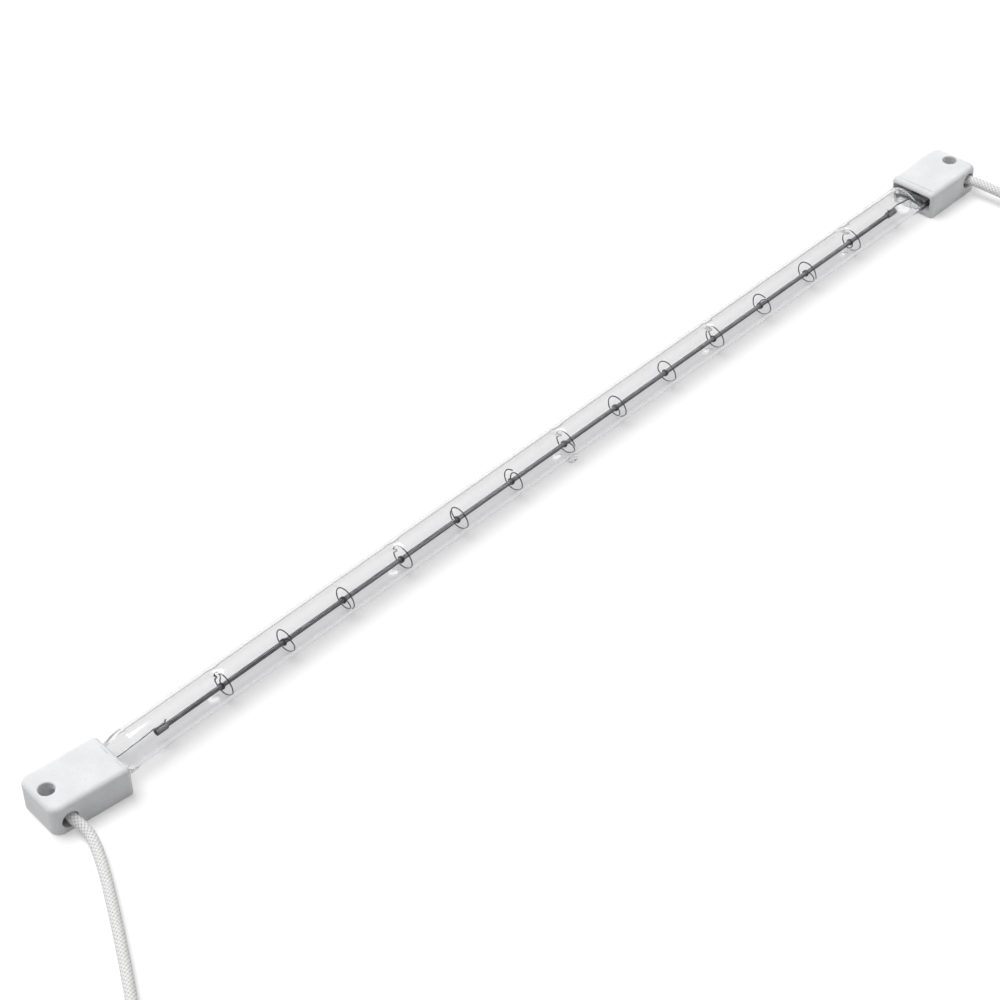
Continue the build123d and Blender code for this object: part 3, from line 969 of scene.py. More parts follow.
@dataclass
class QuartzTube:
    """Clear tube: round barrel, shoulders, flat pinches, dimples and the sealed exhaust tip."""

    supports: Supports
    radius: float = 5.3
    wall: float = 1.0
    axis_z: float = 5.4
    barrel_end: float = 156.2
    shoulder_end: float = 162.6
    pinch_end: float = 168.65
    pinch_half_width: float = 6.1
    pinch_half_height: float = 1.5
    pinch_z: float = 4.4
    bore_end: float = 161.6
    bore_half_width: float = 4.7
    bore_half_height: float = 0.45
    squareness: float = 3.5
    square_from: float = 0.01
    segments: int = 128
    shoulder_steps: int = 14
    dimple_every: int = 3
    dimple_shift: float = -1.2
    dimple_depth: float = 0.75
    dimple_reach: float = 1.1
    dimple_limit: float = 4.0
    tip_below_level: float = 45.0
    tip_height: float = 1.4
    tip_reach: float = 1.7
    tip_fillet: float = 0.8
    tip_dome: float = 0.9
    fine_step: float = 0.25
    fine_span: float = 2.75
    crease: float = 50.0

    def build(self) -> bpy.types.Object:
        """Model both faces of the wall and join them.

        Returns:
            The tube.
        """
        outer = self._wall(
            WallFace(self.radius, self.shoulder_end, self.pinch_half_width, self.pinch_half_height)
        )
        self._pinch(outer)
        Bench.fill(outer)
        inner = self._wall(
            WallFace(self.radius - self.wall, self.bore_end, self.bore_half_width, self.bore_half_height)
        )
        Bench.fill(inner)
        for face in (outer, inner):
            self._press_dimples(face)
        self._raise_tip(outer)
        for face in (outer, inner):
            Bench.outward(face)
        Bench.edit(inner)
        bpy.ops.mesh.select_all(action="SELECT")
        bpy.ops.mesh.flip_normals()
        Bench.pick(outer, inner)
        bpy.ops.object.join()
        tube = Bench.settle(bpy.context.object, "quartz_envelope")
        Bench.round_off(tube, self.crease)
        return tube

    def _wall(self, face: WallFace) -> bpy.types.Object:
        """Model one face of the wall: a long cylinder whose ends are drawn out and flattened.

        Args:
            face: Sizes of the face.

        Returns:
            The open shell.
        """
        Bench.clear()
        bpy.ops.mesh.primitive_cylinder_add(
            vertices=self.segments,
            radius=face.radius * MM,
            depth=2 * self.barrel_end * MM,
            end_fill_type="NOTHING",
            location=mm(0, 0, self.axis_z),
            rotation=(0, math.pi / 2, 0),
        )
        shell = Bench.settle(bpy.context.object, "wall")
        Bench.edit(shell)
        for side in (-1, 1):
            self._draw_shoulder(shell, side, face)
        for station in self._fine_stations():
            bpy.ops.mesh.select_all(action="SELECT")
            bpy.ops.mesh.bisect(plane_co=mm(station, 0, 0), plane_no=(1, 0, 0))
        Bench.clear()
        self._square_off(shell, face)
        return shell

    def _draw_shoulder(self, shell: bpy.types.Object, side: int, face: WallFace) -> None:
        """Draw one end out in steps that flatten it.

        Args:
            shell: Shell in edit mode.
            side: -1 for the left end, 1 for the right.
            face: Sizes of the face.
        """
        Bench.choose_ring(shell, 0, side * self.barrel_end * MM)
        before = (face.radius, face.radius, self.axis_z)
        step = side * (face.end - self.barrel_end) / self.shoulder_steps
        for index in range(1, self.shoulder_steps + 1):
            share = smooth(index / self.shoulder_steps)
            width = lerp(face.radius, face.half_width, share)
            height = lerp(face.radius, face.half_height, share)
            level = lerp(self.axis_z, self.pinch_z, share)
            bpy.ops.mesh.extrude_edges_move(
                TRANSFORM_OT_translate={"value": mm(step, 0, level - before[2])}
            )
            bpy.ops.transform.resize(
                value=(1.0, width / before[0], height / before[1]),
                center_override=mm(side * self.barrel_end + step * index, 0, level),
            )
            before = (width, height, level)

    def _square_off(self, shell: bpy.types.Object, face: WallFace) -> None:
        """Turn the oval sections of the shoulders into rounded oblongs, more so towards the pinch.

        Args:
            shell: Shell to shape.
            face: Sizes of the face.
        """
        for vertex in shell.data.vertices:
            share = (abs(vertex.co.x) / MM - self.barrel_end) / (face.end - self.barrel_end)
            if share <= self.square_from:
                continue
            ease = smooth(share)
            wide = lerp(face.radius, face.half_width, ease)
            high = lerp(face.radius, face.half_height, ease)
            level = lerp(self.axis_z, self.pinch_z, ease) * MM
            angle = math.atan2((vertex.co.z - level) / high, vertex.co.y / wide)
            power = 2.0 / lerp(2.0, self.squareness, ease)
            cosine, sine = math.cos(angle), math.sin(angle)
            vertex.co.y = wide * MM * math.copysign(abs(cosine) ** power, cosine)
            vertex.co.z = level + high * MM * math.copysign(abs(sine) ** power, sine)

    def _pinch(self, shell: bpy.types.Object) -> None:
        """Run the flat section on to the end of each pinch.

        Args:
            shell: Outer face of the wall.
        """
        Bench.edit(shell)
        for side in (-1, 1):
            Bench.choose_ring(shell, 0, side * self.shoulder_end * MM)
            bpy.ops.mesh.extrude_edges_move(
                TRANSFORM_OT_translate={"value": mm(side * (self.pinch_end - self.shoulder_end), 0, 0)}
            )
        Bench.clear()

    def _dimple_stations(self) -> list[float]:
        """Stations of the dimples along the tube."""
        indices = range(0, self.supports.count, self.dimple_every)
        return [self.supports.station(index) + self.dimple_shift for index in indices]

    def _tip_station(self) -> float:
        """Station of the exhaust tip."""
        return self.supports.station((self.supports.count - 1) // 2)

    def _fine_stations(self) -> list[float]:
        """Find where the extra loops near each dimple and the tip go.

        Returns:
            Their stations in order.
        """
        steps = int(self.fine_span / self.fine_step)
        stations = set()
        for middle in self._dimple_stations() + [self._tip_station()]:
            for step in range(-steps, steps + 1):
                stations.add(round(middle + step * self.fine_step, 3))
        return sorted(stations)

    def _press_dimples(self, shell: bpy.types.Object) -> None:
        """Press the dimples into one face of the wall, at the top and the bottom.

        Args:
            shell: Closed face of the wall.
        """
        for vertex in shell.data.vertices:
            x, y, z = vertex.co.x / MM, vertex.co.y / MM, vertex.co.z / MM - self.axis_z
            for middle in self._dimple_stations():
                away = (x - middle) ** 2 + y**2
                if away < self.dimple_limit**2:
                    push = self.dimple_depth * math.exp(-away / (2 * self.dimple_reach**2))
                    vertex.co.z -= math.copysign(push, z) * MM

    def _raise_tip(self, shell: bpy.types.Object) -> None:
        """Raise the rounded nub where the tube was sealed off.

        Args:
            shell: Outer face of the wall.
        """
        slope = math.radians(self.tip_below_level)
        out = Vector((0.0, -math.cos(slope), -math.sin(slope)))
        root = Vector((self._tip_station(), 0.0, self.axis_z))
        for vertex in shell.data.vertices:
            offset = vertex.co / MM - root
            along = offset.dot(out)
            away = (offset - out * along).length
            if along > 0:
                vertex.co += out * (self._tip_lift(away) * MM)

    def _tip_lift(self, away: float) -> float:
        """Shape the nub as a dome on a hollow foot.

        Args:
            away: Distance from its middle in millimetres.

        Returns:
            Its height there in millimetres.
        """
        dome_edge = self.tip_dome * self.tip_reach
        shoulder = self.tip_height * math.sqrt(1.0 - self.tip_dome**2)
        if away < dome_edge:
            return self.tip_height * math.sqrt(1.0 - (away / self.tip_reach) ** 2)
        return shoulder * max(0.0, 1.0 - (away - dome_edge) / self.tip_fillet) ** 2


@dataclass
class Filament:
    """Tightly wound tungsten coil."""

    left: float = -148.8
    right: float = 152.2
    axis_y: float = -0.53
    axis_z: float = 4.87
    radius: float = 0.7
    wire: float = 0.3
    pitch: float = 0.43
    steps: int = 10
    sides: int = 6
    crease: float = 70.0

    def build(self) -> bpy.types.Object:
        """Sweep the wire's section round and along the coil.

        Returns:
            The coil.
        """
        Bench.clear()
        bpy.ops.mesh.primitive_circle_add(
            vertices=self.sides,
            radius=self.wire / 2 * MM,
            fill_type="NOTHING",
            location=mm(self.left + self.wire / 2, self.axis_y, self.axis_z),
            rotation=(math.pi / 2, 0, 0),
        )
        coil = bpy.context.object
        bpy.ops.object.transform_apply(location=False, rotation=True, scale=True)
        Bench.edit(coil)
        bpy.ops.mesh.select_all(action="SELECT")
        bpy.ops.transform.translate(value=mm(0, 0, self.radius - self.wire / 2))
        Bench.clear()
        screw = coil.modifiers.new("winding", "SCREW")
        screw.axis = "X"
        screw.iterations = int((self.right - self.left - self.wire) / self.pitch)
        screw.screw_offset = self.pitch * MM
        screw.steps = self.steps
        screw.render_steps = self.steps
        Bench.apply_modifiers(coil)
        Bench.settle(coil, "filament_winding")
        Bench.fill(coil, self.sides)
        Bench.outward(coil)
        Bench.round_off(coil, self.crease)
        return coil


@dataclass
class SpiralSupport:
    """Wire wrapped round the filament, led outwards in a spiral and bent into an open loop."""

    supports: Supports
    axis_y: float = -0.53
    axis_z: float = 4.87
    wire: float = 0.34
    hub_radius: float = 0.87
    loop_radius: float = 3.35
    hub_from: float = -0.4
    hub_to: float = 0.35
    loop_offset: float = 0.7
    hub_turns: float = 2.5
    leg_turn: float = 0.22
    loop_turns: float = 0.93
    points_per_turn: int = 16
    curve_steps: int = 3
    wire_rounding: int = 2
    crease: float = 60.0

    def build(self) -> list[bpy.types.Object]:
        """Model one support and copy it to each hub, turned further each time.

        Returns:
            The supports from left to right.
        """
        model = self._model()
        made = []
        for index in range(self.supports.count):
            place = Matrix.Translation(mm(self.supports.station(index), self.axis_y, self.axis_z))
            turn = Matrix.Rotation(math.radians(index * self.supports.turn), 4, "X")
            made.append(Bench.copy(model, f"spiral_support_{index + 1:02d}", place @ turn))
        Bench.remove(model)
        return made

    def _model(self) -> bpy.types.Object:
        """Bend one support about the origin.

        Returns:
            The support as a mesh.
        """
        path = Bench.nurbs(self._points(), self.curve_steps)
        path.data.bevel_depth = self.wire / 2 * MM
        path.data.bevel_resolution = self.wire_rounding
        path.data.use_fill_caps = True
        Bench.pick(path)
        bpy.ops.object.convert(target="MESH")
        support = Bench.settle(bpy.context.object, "support_model")
        Bench.outward(support)
        Bench.round_off(support, self.crease)
        return support

    def _points(self) -> list[Point]:
        """Lay out the wire about the filament's axis.

        Returns:
            Its control points in metres.
        """
        total = self.hub_turns + self.leg_turn + self.loop_turns
        count = int(total * self.points_per_turn)
        points = []
        for index in range(count + 1):
            turn = total * index / count
            leg = smooth((turn - self.hub_turns) / self.leg_turn)
            radius = lerp(self.hub_radius, self.loop_radius, leg)
            along = lerp(self.hub_from, self.hub_to, min(turn / self.hub_turns, 1.0))
            along = lerp(along, self.loop_offset, leg)
            angle = 2 * math.pi * (turn - self.hub_turns - self.leg_turn) + math.pi / 2
            points.append(mm(along, radius * math.cos(angle), radius * math.sin(angle)))
        return points


@dataclass
class CeramicCap:
    """Fired block on an end of the lamp: open mouth, screw hole and side exit for the lead."""

    length: float = 23.0
    width: float = 16.1
    height: float = 8.8
    mouth_x: float = 162.0
    outer_corner: float = 2.9
    mouth_corner: float = 1.5
    top_edge: float = 1.6
    bottom_edge: float = 0.5
    cavity_width: float = 13.8
    cavity_height: float = 5.8
    cavity_depth: float = 16.05
    cavity_corner: float = 0.8
    mouth_overrun: float = 1.0
    passage_corner: float = 0.4
    screw_u: float = 7.9
    screw_radius: float = 2.15
    boss_radius: float = 3.05
    window_width: float = 3.4
    window_height: float = 4.2
    window_below_top: float = 2.0
    window_corner: float = 0.5
    exit_u: float = 6.9
    exit_radius: float = 2.4
    exit_lift: float = 0.6
    exit_depth: float = 5.0
    rim: float = 0.45
    rim_steps: int = 5
    hole_sides: int = 64
    boss_sides: int = 48
    corner_steps: int = 8
    edge_steps: int = 6
    cutter_steps: int = 4
    crease: float = 40.0
    askew: float = -6.6
    pivot_x: float = 167.525

    def build(self) -> dict[End, bpy.types.Object]:
        """Model both caps, the left one mirrored, with its exit lower, and turned askew.

        Returns:
            Both caps by end.
        """
        shift = Matrix.Translation(mm(self.mouth_x + self.length / 2, 0, 0))
        pivot = Matrix.Translation(mm(-self.pivot_x, 0, 0))
        turn = pivot @ Matrix.Rotation(math.radians(self.askew), 4, "Z") @ pivot.inverted()
        mirror = Matrix.Diagonal((-1.0, 1.0, 1.0, 1.0))
        places = {End.LEFT: turn @ mirror @ shift, End.RIGHT: shift}
        caps = {}
        for end, place in places.items():
            block = self._moulding(end.value * self.exit_lift)
            block.matrix_world = place
            Bench.settle(block, f"ceramic_block_{end.label}")
            self._finish(block)
            caps[end] = block
        return caps

    def _moulding(self, exit_lift: float) -> bpy.types.Object:
        """Shape a cap about the middle of its underside.

        Args:
            exit_lift: How far the exit lies above mid-height.

        Returns:
            The cap, with its mouth towards -X.
        """
        block = self._block()
        Bench.cut(block, self._cavity())
        Bench.cut(block, self._passage())
        screw_middle = mm(self.screw_u, 0, self.height / 2)
        Bench.cut(block, self._hole(self.screw_radius, self.height, screw_middle, 0.0))
        Bench.cut(block, self._window())
        way_out = mm(self.exit_u, -self.width / 2, self.height / 2 + exit_lift)
        Bench.cut(block, self._hole(self.exit_radius, self.exit_depth, way_out, math.pi / 2))
        return block

    def _block(self) -> bpy.types.Object:
        """Shape the outside of the block about the origin.

        Returns:
            The solid block.
        """
        Bench.clear()
        bpy.ops.mesh.primitive_cube_add(size=1.0, location=mm(0, 0, self.height / 2))
        block = bpy.context.object
        block.scale = mm(self.length, self.width, self.height)
        Bench.settle(block, "cap_model")
        Bench.edit(block)
        for side, radius in ((1, self.outer_corner), (-1, self.mouth_corner)):
            end = side * self.length / 2 * MM
            Bench.choose(
                block,
                "EDGE",
                lambda e, end=end: all(abs(v.co.x - end) < NEAR for v in e.verts)
                and abs(e.verts[0].co.z - e.verts[1].co.z) > 0.5 * self.height * MM,
            )
            bpy.ops.mesh.bevel(offset=radius * MM, segments=self.corner_steps, affect="EDGES")
        for level, radius in ((self.height, self.top_edge), (0.0, self.bottom_edge)):
            Bench.choose(
                block,
                "EDGE",
                lambda e, level=level: all(abs(v.co.z - level * MM) < NEAR for v in e.verts),
            )
            bpy.ops.mesh.bevel(
                offset=radius * MM, segments=self.edge_steps, affect="EDGES", clamp_overlap=False
            )
        Bench.clear()
        Bench.outward(block)
        return block

    def _oblong(self, size: Point, middle: Point, corner: float, axis: int) -> bpy.types.Object:
        """Box whose edges along one axis are rounded.

        Args:
            size: Size along each axis.
            middle: Place of its middle.
            corner: Radius of the rounded edges.
            axis: Axis that the rounded edges run along.

        Returns:
            The box.
        """
        Bench.clear()
        bpy.ops.mesh.primitive_cube_add(size=1.0, location=mm(*middle))
        box = bpy.context.object
        box.scale = mm(*size)
        Bench.settle(box, "cutter")
        Bench.edit(box)
        Bench.choose(
            box, "EDGE", lambda e: abs(e.verts[0].co[axis] - e.verts[1].co[axis]) > 0.5 * size[axis] * MM
        )
        bpy.ops.mesh.bevel(offset=corner * MM, segments=self.cutter_steps, affect="EDGES")
        Bench.clear()
        return box

    def _cavity(self) -> bpy.types.Object:
        """Shape the hollow that takes the pinch.

        Returns:
            The cutter.
        """
        long = self.cavity_depth + self.mouth_overrun
        middle = -self.length / 2 - self.mouth_overrun + long / 2
        return self._oblong(
            (long, self.cavity_width, self.cavity_height),
            (middle, 0.0, self.height / 2),
            self.cavity_corner,
            0,
        )

    def _passage(self) -> bpy.types.Object:
        """Shape the room for the lead beside the boss round the screw hole.

        Returns:
            The cutter.
        """
        start = self.cavity_depth - self.length / 2 - self.cavity_corner
        end = self.exit_u + self.exit_radius
        room = self._oblong(
            (end - start, self.cavity_width / 2, self.cavity_height),
            ((start + end) / 2, -self.cavity_width / 4, self.height / 2),
            self.passage_corner,
            0,
        )
        bpy.ops.mesh.primitive_cylinder_add(
            vertices=self.boss_sides,
            radius=self.boss_radius * MM,
            depth=2 * self.height * MM,
            location=mm(self.screw_u, 0, 0),
        )
        boss = Bench.settle(bpy.context.object, "boss")
        Bench.cut(room, boss)
        return room

    def _window(self) -> bpy.types.Object:
        """Shape the opening low in the wall of the screw hole, towards the hollow.

        Returns:
            The cutter.
        """
        start = self.cavity_depth - self.length / 2 - self.cavity_corner
        end = self.screw_u - self.screw_radius / 2
        level = self.height - self.window_below_top - self.window_height / 2
        return self._oblong(
            (end - start, self.window_width, self.window_height),
            ((start + end) / 2, 0.0, level),
            self.window_corner,
            0,
        )

    def _hole(self, radius: float, depth: float, middle: Point, tilt: float) -> bpy.types.Object:
        """Round cutter whose ends flare, so that it breaks the rims it passes.

        Args:
            radius: Radius of the hole.
            depth: Distance between the two flares.
            middle: Place of its middle, in metres.
            tilt: Turn about X in radians.

        Returns:
            The cutter.
        """
        Bench.clear()
        bpy.ops.mesh.primitive_cylinder_add(
            vertices=self.hole_sides,
            radius=radius * MM,
            depth=(depth - 2 * self.rim) * MM,
            end_fill_type="NOTHING",
        )
        cutter = bpy.context.object
        Bench.edit(cutter)
        for side in (-1, 1):
            Bench.choose_ring(cutter, 2, side * (depth / 2 - self.rim) * MM)
            before = (radius, 0.0)
            for step in range(1, self.rim_steps + 1):
                angle = math.pi / 2 * step / self.rim_steps
                wide = radius + self.rim * (1.0 - math.cos(angle))
                high = self.rim * math.sin(angle)
                bpy.ops.mesh.extrude_edges_move(
                    TRANSFORM_OT_translate={"value": mm(0, 0, side * (high - before[1]))}
                )
                share = wide / before[0]
                bpy.ops.transform.resize(value=(share, share, 1.0), center_override=(0, 0, 0))
                before = (wide, high)
            bpy.ops.mesh.extrude_edges_move(TRANSFORM_OT_translate={"value": mm(0, 0, side * self.rim)})
        Bench.fill(cutter)
        Bench.outward(cutter)
        cutter.matrix_world = Matrix.Translation(middle) @ Matrix.Rotation(tilt, 4, "X")
        return Bench.settle(cutter, "hole")

    def _finish(self, block: bpy.types.Object) -> None:
        """Shade the block with its flat faces kept flat.

        Args:
            block: Cap in its place.
        """
        Bench.outward(block)
        Bench.round_off(block, self.crease)
        modifier = block.modifiers.new("flat_faces", "WEIGHTED_NORMAL")
        modifier.keep_sharp = True
        Bench.apply_modifiers(block)


@dataclass
class BraidedLead:
    """Glass-braided lead: out of its cap, over the surface, round its turns and off to a terminal."""

    end: End
    run: tuple[Point, ...]
    centre: tuple[float, float]
    entry: float
    turning: int
    turns: float
    spread: float
    length: float
    diameter: float = 3.0
    stow_radius: float = 16.5
    low: float = 2.05
    top: float = 5.05
    climb_from: float = 0.78
    spread_from: float = 1.55
    least_turn: float = 0.01
    points_per_turn: int = 16
    curve_steps: int = 12
    tail: tuple[Point, ...] = ((8.0, 0.3, 4.95), (15.0, 1.1, 3.25), (21.0, 2.2, 1.85), (26.0, 3.5, 1.85))
    carriers: int = 8
    lay: float = 1.25
    around: int = 48
    step: float = 0.24
    relief: float = 0.13
    strand_fill: float = 0.94
    strand_level: float = 0.55
    strand_wave: float = 0.45
    path: list[Vector] = field(default_factory=list)

    def route(self) -> list[Point]:
        """Lay out the whole lead.

        Returns:
            Its control points in metres.
        """
        points = list(self.run)
        count = int(self.turns * self.points_per_turn)
        for index in range(1, count + 1):
            points.append(self._wound(self.turns * index / count))
        points += self._loose_end()
        return [mm(*place) for place in points]

    def _wound(self, turn: float) -> Point:
        """Point of the put-away turns.

        Args:
            turn: Turns since the entry.

        Returns:
            The point in millimetres.
        """
        climb = smooth((turn - self.climb_from) / (1.0 - self.climb_from))
        out = smooth((turn - self.spread_from) / max(self.turns - self.spread_from, self.least_turn))
        reach = self.stow_radius + self.spread * out
        angle = math.radians(self.entry) + self.turning * 2 * math.pi * turn
        return (
            self.centre[0] + reach * math.cos(angle),
            self.centre[1] + reach * math.sin(angle),
            lerp(self.low, self.top, climb),
        )

    def _loose_end(self) -> list[Point]:
        """Lay the loose end straight on from the turns and down to the surface.

        Returns:
            Its points in millimetres.
        """
        angle = math.radians(self.entry) + self.turning * 2 * math.pi * self.turns
        out = Vector((math.cos(angle), math.sin(angle)))
        onward = Vector((-out.y, out.x)) * self.turning
        root = Vector(self.centre) + out * self.stow_radius
        points = []
        for ahead, aside, level in self.tail:
            place = root + onward * ahead + out * aside
            points.append((place.x, place.y, level))
        return points

    def declare(self, lead: bpy.types.Object, pieces: Sequence[bpy.types.Object]) -> None:
        """Args:
            lead: The woven tube; not used.
            pieces: The tie and the terminal on it; not used.
        """

    def build(self) -> bpy.types.Object:
        """Weave the sleeving along the smooth line of the route.

        Returns:
            The lead as a mesh.
        """
        self.path = self._resampled(self._line())
        return self._weave(self.path)

    def _line(self) -> list[Vector]:
        """Draw the smooth line of the route and read its points.

        Returns:
            Points along the line.
        """
        guide = Bench.nurbs(self.route(), self.curve_steps)
        mesh = bpy.data.meshes.new_from_object(guide)
        line = [vertex.co.copy() for vertex in mesh.vertices]
        bpy.data.meshes.remove(mesh)
        Bench.remove(guide)
        return line

    def _resampled(self, line: Sequence[Vector]) -> list[Vector]:
        """Space points evenly along a line.

        Args:
            line: Points of the line.

        Returns:
            Points an even step apart.
        """
        gaps = [(b - a).length for a, b in zip(line, line[1:])]
        count = int(sum(gaps) / (self.step * MM))
        even = sum(gaps) / count
        places, index, passed = [], 0, 0.0
        for number in range(count + 1):
            target = number * even
            while index < len(gaps) - 1 and passed + gaps[index] < target:
                passed += gaps[index]
                index += 1
            share = min((target - passed) / gaps[index], 1.0)
            places.append(line[index].lerp(line[index + 1], share))
        return places

    def _height(self, around: float, along: float) -> float:
        """Height of the weave from 0 in the grooves to 1 on the crests.

        Args:
            around: Share of a turn round the lead.
            along: Distance along it in millimetres.

        Returns:
            The height.
        """
        first = self.carriers * around + along / self.lay
        second = self.carriers * around - along / self.lay
        over = 1.0 if (math.floor(first) + math.floor(second)) % 2 == 0 else -1.0
        first -= math.floor(first)
        second -= math.floor(second)
        heights = []
        for own, other, sign in ((first, second, over), (second, first, -over)):
            edge = abs(own - 0.5) / (0.5 * self.strand_fill)
            crown = math.sqrt(max(0.0, 1.0 - edge * edge))
            heights.append(crown * (self.strand_level + self.strand_wave * sign * math.sin(math.pi * other)))
        return max(heights)

    def _weave(self, places: Sequence[Vector]) -> bpy.types.Object:
        """Build the woven tube round a line.

        Args:
            places: Even points along the line.

        Returns:
            The tube.
        """
        form = bmesh.new()
        layer = form.verts.layers.float.new(BraidFinish.attribute)
        side = Vector((0.0, 0.0, 1.0))
        rings = []
        for index, place in enumerate(places):
            ahead = places[min(index + 1, len(places) - 1)] - places[max(index - 1, 0)]
            ahead.normalize()
            side = (side - ahead * side.dot(ahead)).normalized()
            other = ahead.cross(side)
            ring = []
            for number in range(self.around):
                share = number / self.around
                height = self._height(share, index * self.step)
                reach = (self.diameter / 2 - self.relief * (1.0 - height)) * MM
                angle = 2 * math.pi * share
                vertex = form.verts.new(place + (side * math.cos(angle) + other * math.sin(angle)) * reach)
                vertex[layer] = height
                ring.append(vertex)
            rings.append(ring)
        for before, after in zip(rings, rings[1:]):
            for number in range(self.around):
                following = (number + 1) % self.around
                form.faces.new((before[number], before[following], after[following], after[number]))
        form.faces.new(list(reversed(rings[0])))
        form.faces.new(rings[-1])
        for face in form.faces:
            face.smooth = True
        name = f"braided_lead_{self.end.label}"
        mesh = bpy.data.meshes.new(name)
        form.to_mesh(mesh)
        form.free()
        lead = bpy.data.objects.new(name, mesh)
        bpy.context.collection.objects.link(lead)
        return lead


@dataclass
class Studio:
    """Plain pale floor, soft light from behind the lamp and the photograph's camera."""

    target: Point = (-27.5, -3.83, 5.1)
    azimuth: float = -45.057
    elevation: float = 40.278
    distance: float = 749.43
    roll: float = -2.433
    focal_pixels: float = 2760.107
    frame_pixels: float = 1000.0
    sensor: float = 36.0
    floor_size: float = 6.0
    floor_grey: float = 0.7
    floor_glow: float = 0.36
    floor_drop: float = 0.02
    sky: float = 0.15
    sky_mirrored: float = 1.0
    sky_low: float = 0.5
    sky_through: float = 0.85
    overhead_from: float = 0.5
    overhead_to: float = 0.95
    key_power: float = 62.0
    key_size: float = 2.0
    key_place: Point = (-300.0, 900.0, 2300.0)
    fill_power: float = 0.35
    fill_size: float = 0.3
    fill_place: Point = (420.0, -380.0, 330.0)
    nearest: float = 0.01

    def build(self) -> None:
        """Add the floor, the light and the camera."""
        self._floor()
        self._sky()
        self._lamp(self.key_place, self.key_size, self.key_power)
        self._lamp(self.fill_place, self.fill_size, self.fill_power)
        self._camera()
        bpy.context.scene.view_settings.view_transform = "Standard"

    def _floor(self) -> None:
        """Lay a floor that looks white where it is lit and keeps the shadows."""
        Bench.clear()
        bpy.ops.mesh.primitive_plane_add(size=self.floor_size, location=mm(0, 0, -self.floor_drop))
        floor = Bench.settle(bpy.context.object, "floor")
        material, graph, shader, output = begin_material("white_floor")
        light = graph.node("LightPath")
        shade = (self.floor_grey, self.floor_grey, self.floor_grey, 1.0)
        graph.feed(shader, Base_Color=shade, Roughness=1.0, Specular_IOR_Level=0.0)
        bent = graph.math("MAXIMUM", light.outputs["Is Glossy Ray"], light.outputs["Is Transmission Ray"])
        seen = graph.math("MAXIMUM", light.outputs["Is Camera Ray"], bent)
        glow = graph.feed(graph.node("Emission"), Strength=graph.math("MULTIPLY", seen, self.floor_glow))
        both = graph.node("AddShader")
        graph.link(shader.outputs["BSDF"], both.inputs[0])
        graph.link(glow.outputs["Emission"], both.inputs[1])
        graph.link(both.outputs["Shader"], output.inputs["Surface"])
        floor.data.materials.append(material)

    def _sky(self) -> None:
        """Light everything faintly from all round, with a sky that mirrors pale from overhead."""
        world = bpy.data.worlds.new("studio")
        bpy.context.scene.world = world
        world.use_nodes = True
        graph = Graph(world.node_tree)
        light = graph.node("LightPath")
        height = graph.feed(graph.node("SeparateXYZ"), Vector=graph.node("TexCoord").outputs["Generated"])
        overhead = graph.ease(
            height.outputs["Z"],
            self.overhead_from,
            self.overhead_to,
            To_Min=self.sky_low,
            To_Max=self.sky_mirrored,
        )
        mirrored = graph.math("MINIMUM", light.outputs["Glossy Depth"], 1.0)
        seen = graph.choose(light.outputs["Is Transmission Ray"], 1.0, self.sky_through)
        seen = graph.choose(mirrored, seen, overhead)
        strength = graph.choose(light.outputs["Is Diffuse Ray"], seen, self.sky)
        back = graph.feed(graph.node("Background"), Color=WHITE, Strength=strength)
        output = graph.node("OutputWorld")
        graph.link(back.outputs["Background"], output.inputs["Surface"])

    def _lamp(self, place: Point, size: float, power: float) -> None:
        """Hang a round lamp that looks at the origin.

        Args:
            place: Where it hangs, in millimetres.
            size: Its width in metres.
            power: Its power in watts.
        """
        Bench.clear()
        spot = Vector(mm(*place))
        bpy.ops.object.light_add(type="AREA", location=spot)
        lamp = bpy.context.object
        lamp.rotation_euler = (-spot).to_track_quat("-Z", "Y").to_euler()
        lamp.data.shape = "DISK"
        lamp.data.size = size
        lamp.data.energy = power
        lamp.visible_glossy = False

    def _camera(self) -> None:
        """Stand the camera where the photograph was taken from."""
        Bench.clear()
        azimuth, elevation = math.radians(self.azimuth), math.radians(self.elevation)
        back = Vector(
            (
                math.sin(azimuth) * math.cos(elevation),
                -math.cos(azimuth) * math.cos(elevation),
                math.sin(elevation),
            )
        )
        target = Vector(mm(*self.target))
        bpy.ops.object.camera_add(location=target + back * self.distance * MM)
        camera = bpy.context.object
        aim = (-back).to_track_quat("-Z", "Y").to_matrix()
        turn = Matrix.Rotation(math.radians(self.roll), 3, "Z")
        camera.rotation_euler = (aim @ turn).to_euler()
        camera.data.sensor_fit = "HORIZONTAL"
        camera.data.sensor_width = self.sensor
        camera.data.lens = self.focal_pixels * self.sensor / self.frame_pixels
        camera.data.clip_start = self.nearest
        bpy.context.scene.camera = camera


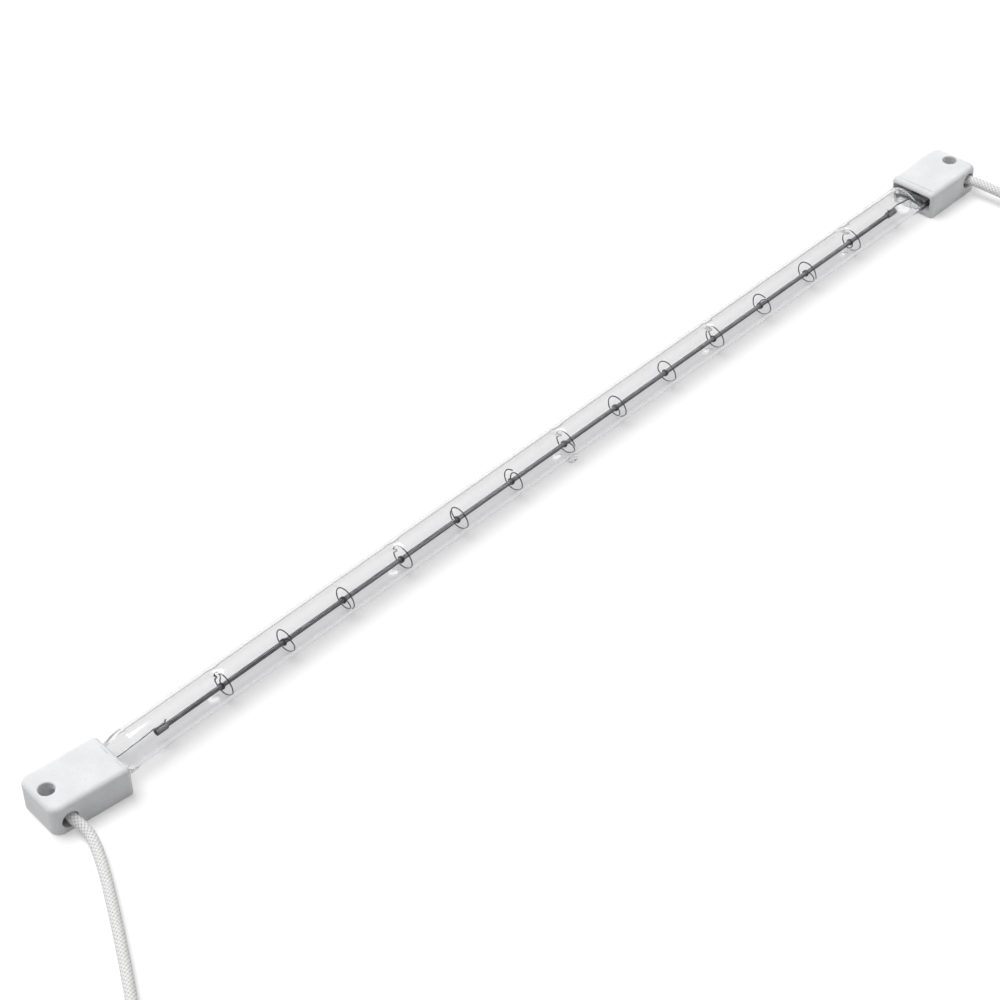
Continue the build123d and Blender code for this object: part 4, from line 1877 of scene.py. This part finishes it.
def left_lead() -> BraidedLead:
    """Lay out the lead of the left cap on the route of its solids.

    Returns:
        The lead, not yet built.
    """
    run = (
        (-174.35, -3.2, 4.87),
        (-181.24, -3.2, 4.87),
        (-179.73, -10.785, 2.1),
        (-182.03, -16.985, 1.5),
        (-186.33, -24.985, 1.5),
        (-191.73, -34.085, 1.5),
        (-197.93, -44.185, 1.5),
        (-204.53, -54.585, 1.5),
        (-211.23, -64.685, 1.5),
        (-217.43, -73.385, 1.7),
        (-224.03, -81.785, 2.05),
    )
    return BraidedLead(
        End.LEFT,
        run,
        centre=(-237.0, -71.59),
        entry=-38.16,
        turning=-1,
        turns=1.5,
        spread=0.0,
        length=279.0,
    )


def right_lead() -> BraidedLead:
    """Lay out the lead of the right cap on the route of its solids.

    Returns:
        The lead, not yet built.
    """
    run = (
        (174.35, -4.0, 4.87),
        (180.9, -4.0, 4.87),
        (181.45, -12.0, 5.0),
        (181.85, -19.5, 4.6),
        (183.55, -27.0, 3.2),
        (186.95, -34.2, 1.9),
        (192.15, -40.4, 1.5),
        (198.55, -45.4, 2.05),
    )
    return BraidedLead(
        End.RIGHT,
        run,
        centre=(208.71, -32.4),
        entry=-128.0,
        turning=1,
        turns=2.0,
        spread=3.2,
        length=287.0,
    )


def main() -> None:
    """Build the lamp and its studio."""
    logging.basicConfig(level=logging.INFO, format="%(message)s")
    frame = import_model()
    rack = FinishRack.mixed()
    rack.dress_solids(frame)
    supports = Supports()
    for lead in (left_lead(), right_lead()):
        side = lead.end.label
        woven = lead.build()
        rack.fit(woven, Slot.BRAID, f"lead_{side}", f"lead_coil_{side}", f"lead_tail_{side}")
        lead.declare(woven, [frame["nodes"][f"lead_tie_{side}"], frame["nodes"][f"lead_terminal_{side}"]])
    rack.fit(QuartzTube(supports).build(), Slot.QUARTZ, "quartz_tube")
    rack.fit(Filament().build(), Slot.TUNGSTEN, "filament_coil")
    for number, support in enumerate(SpiralSupport(supports).build(), 1):
        rack.darken(rack.fit(support, Slot.TUNGSTEN, f"support_ring_{number:02d}"))
    for end, cap in CeramicCap().build().items():
        rack.fit(cap, Slot.CERAMIC, f"ceramic_cap_{end.label}")
    Studio().build()


if __name__ == "__main__":
    main()
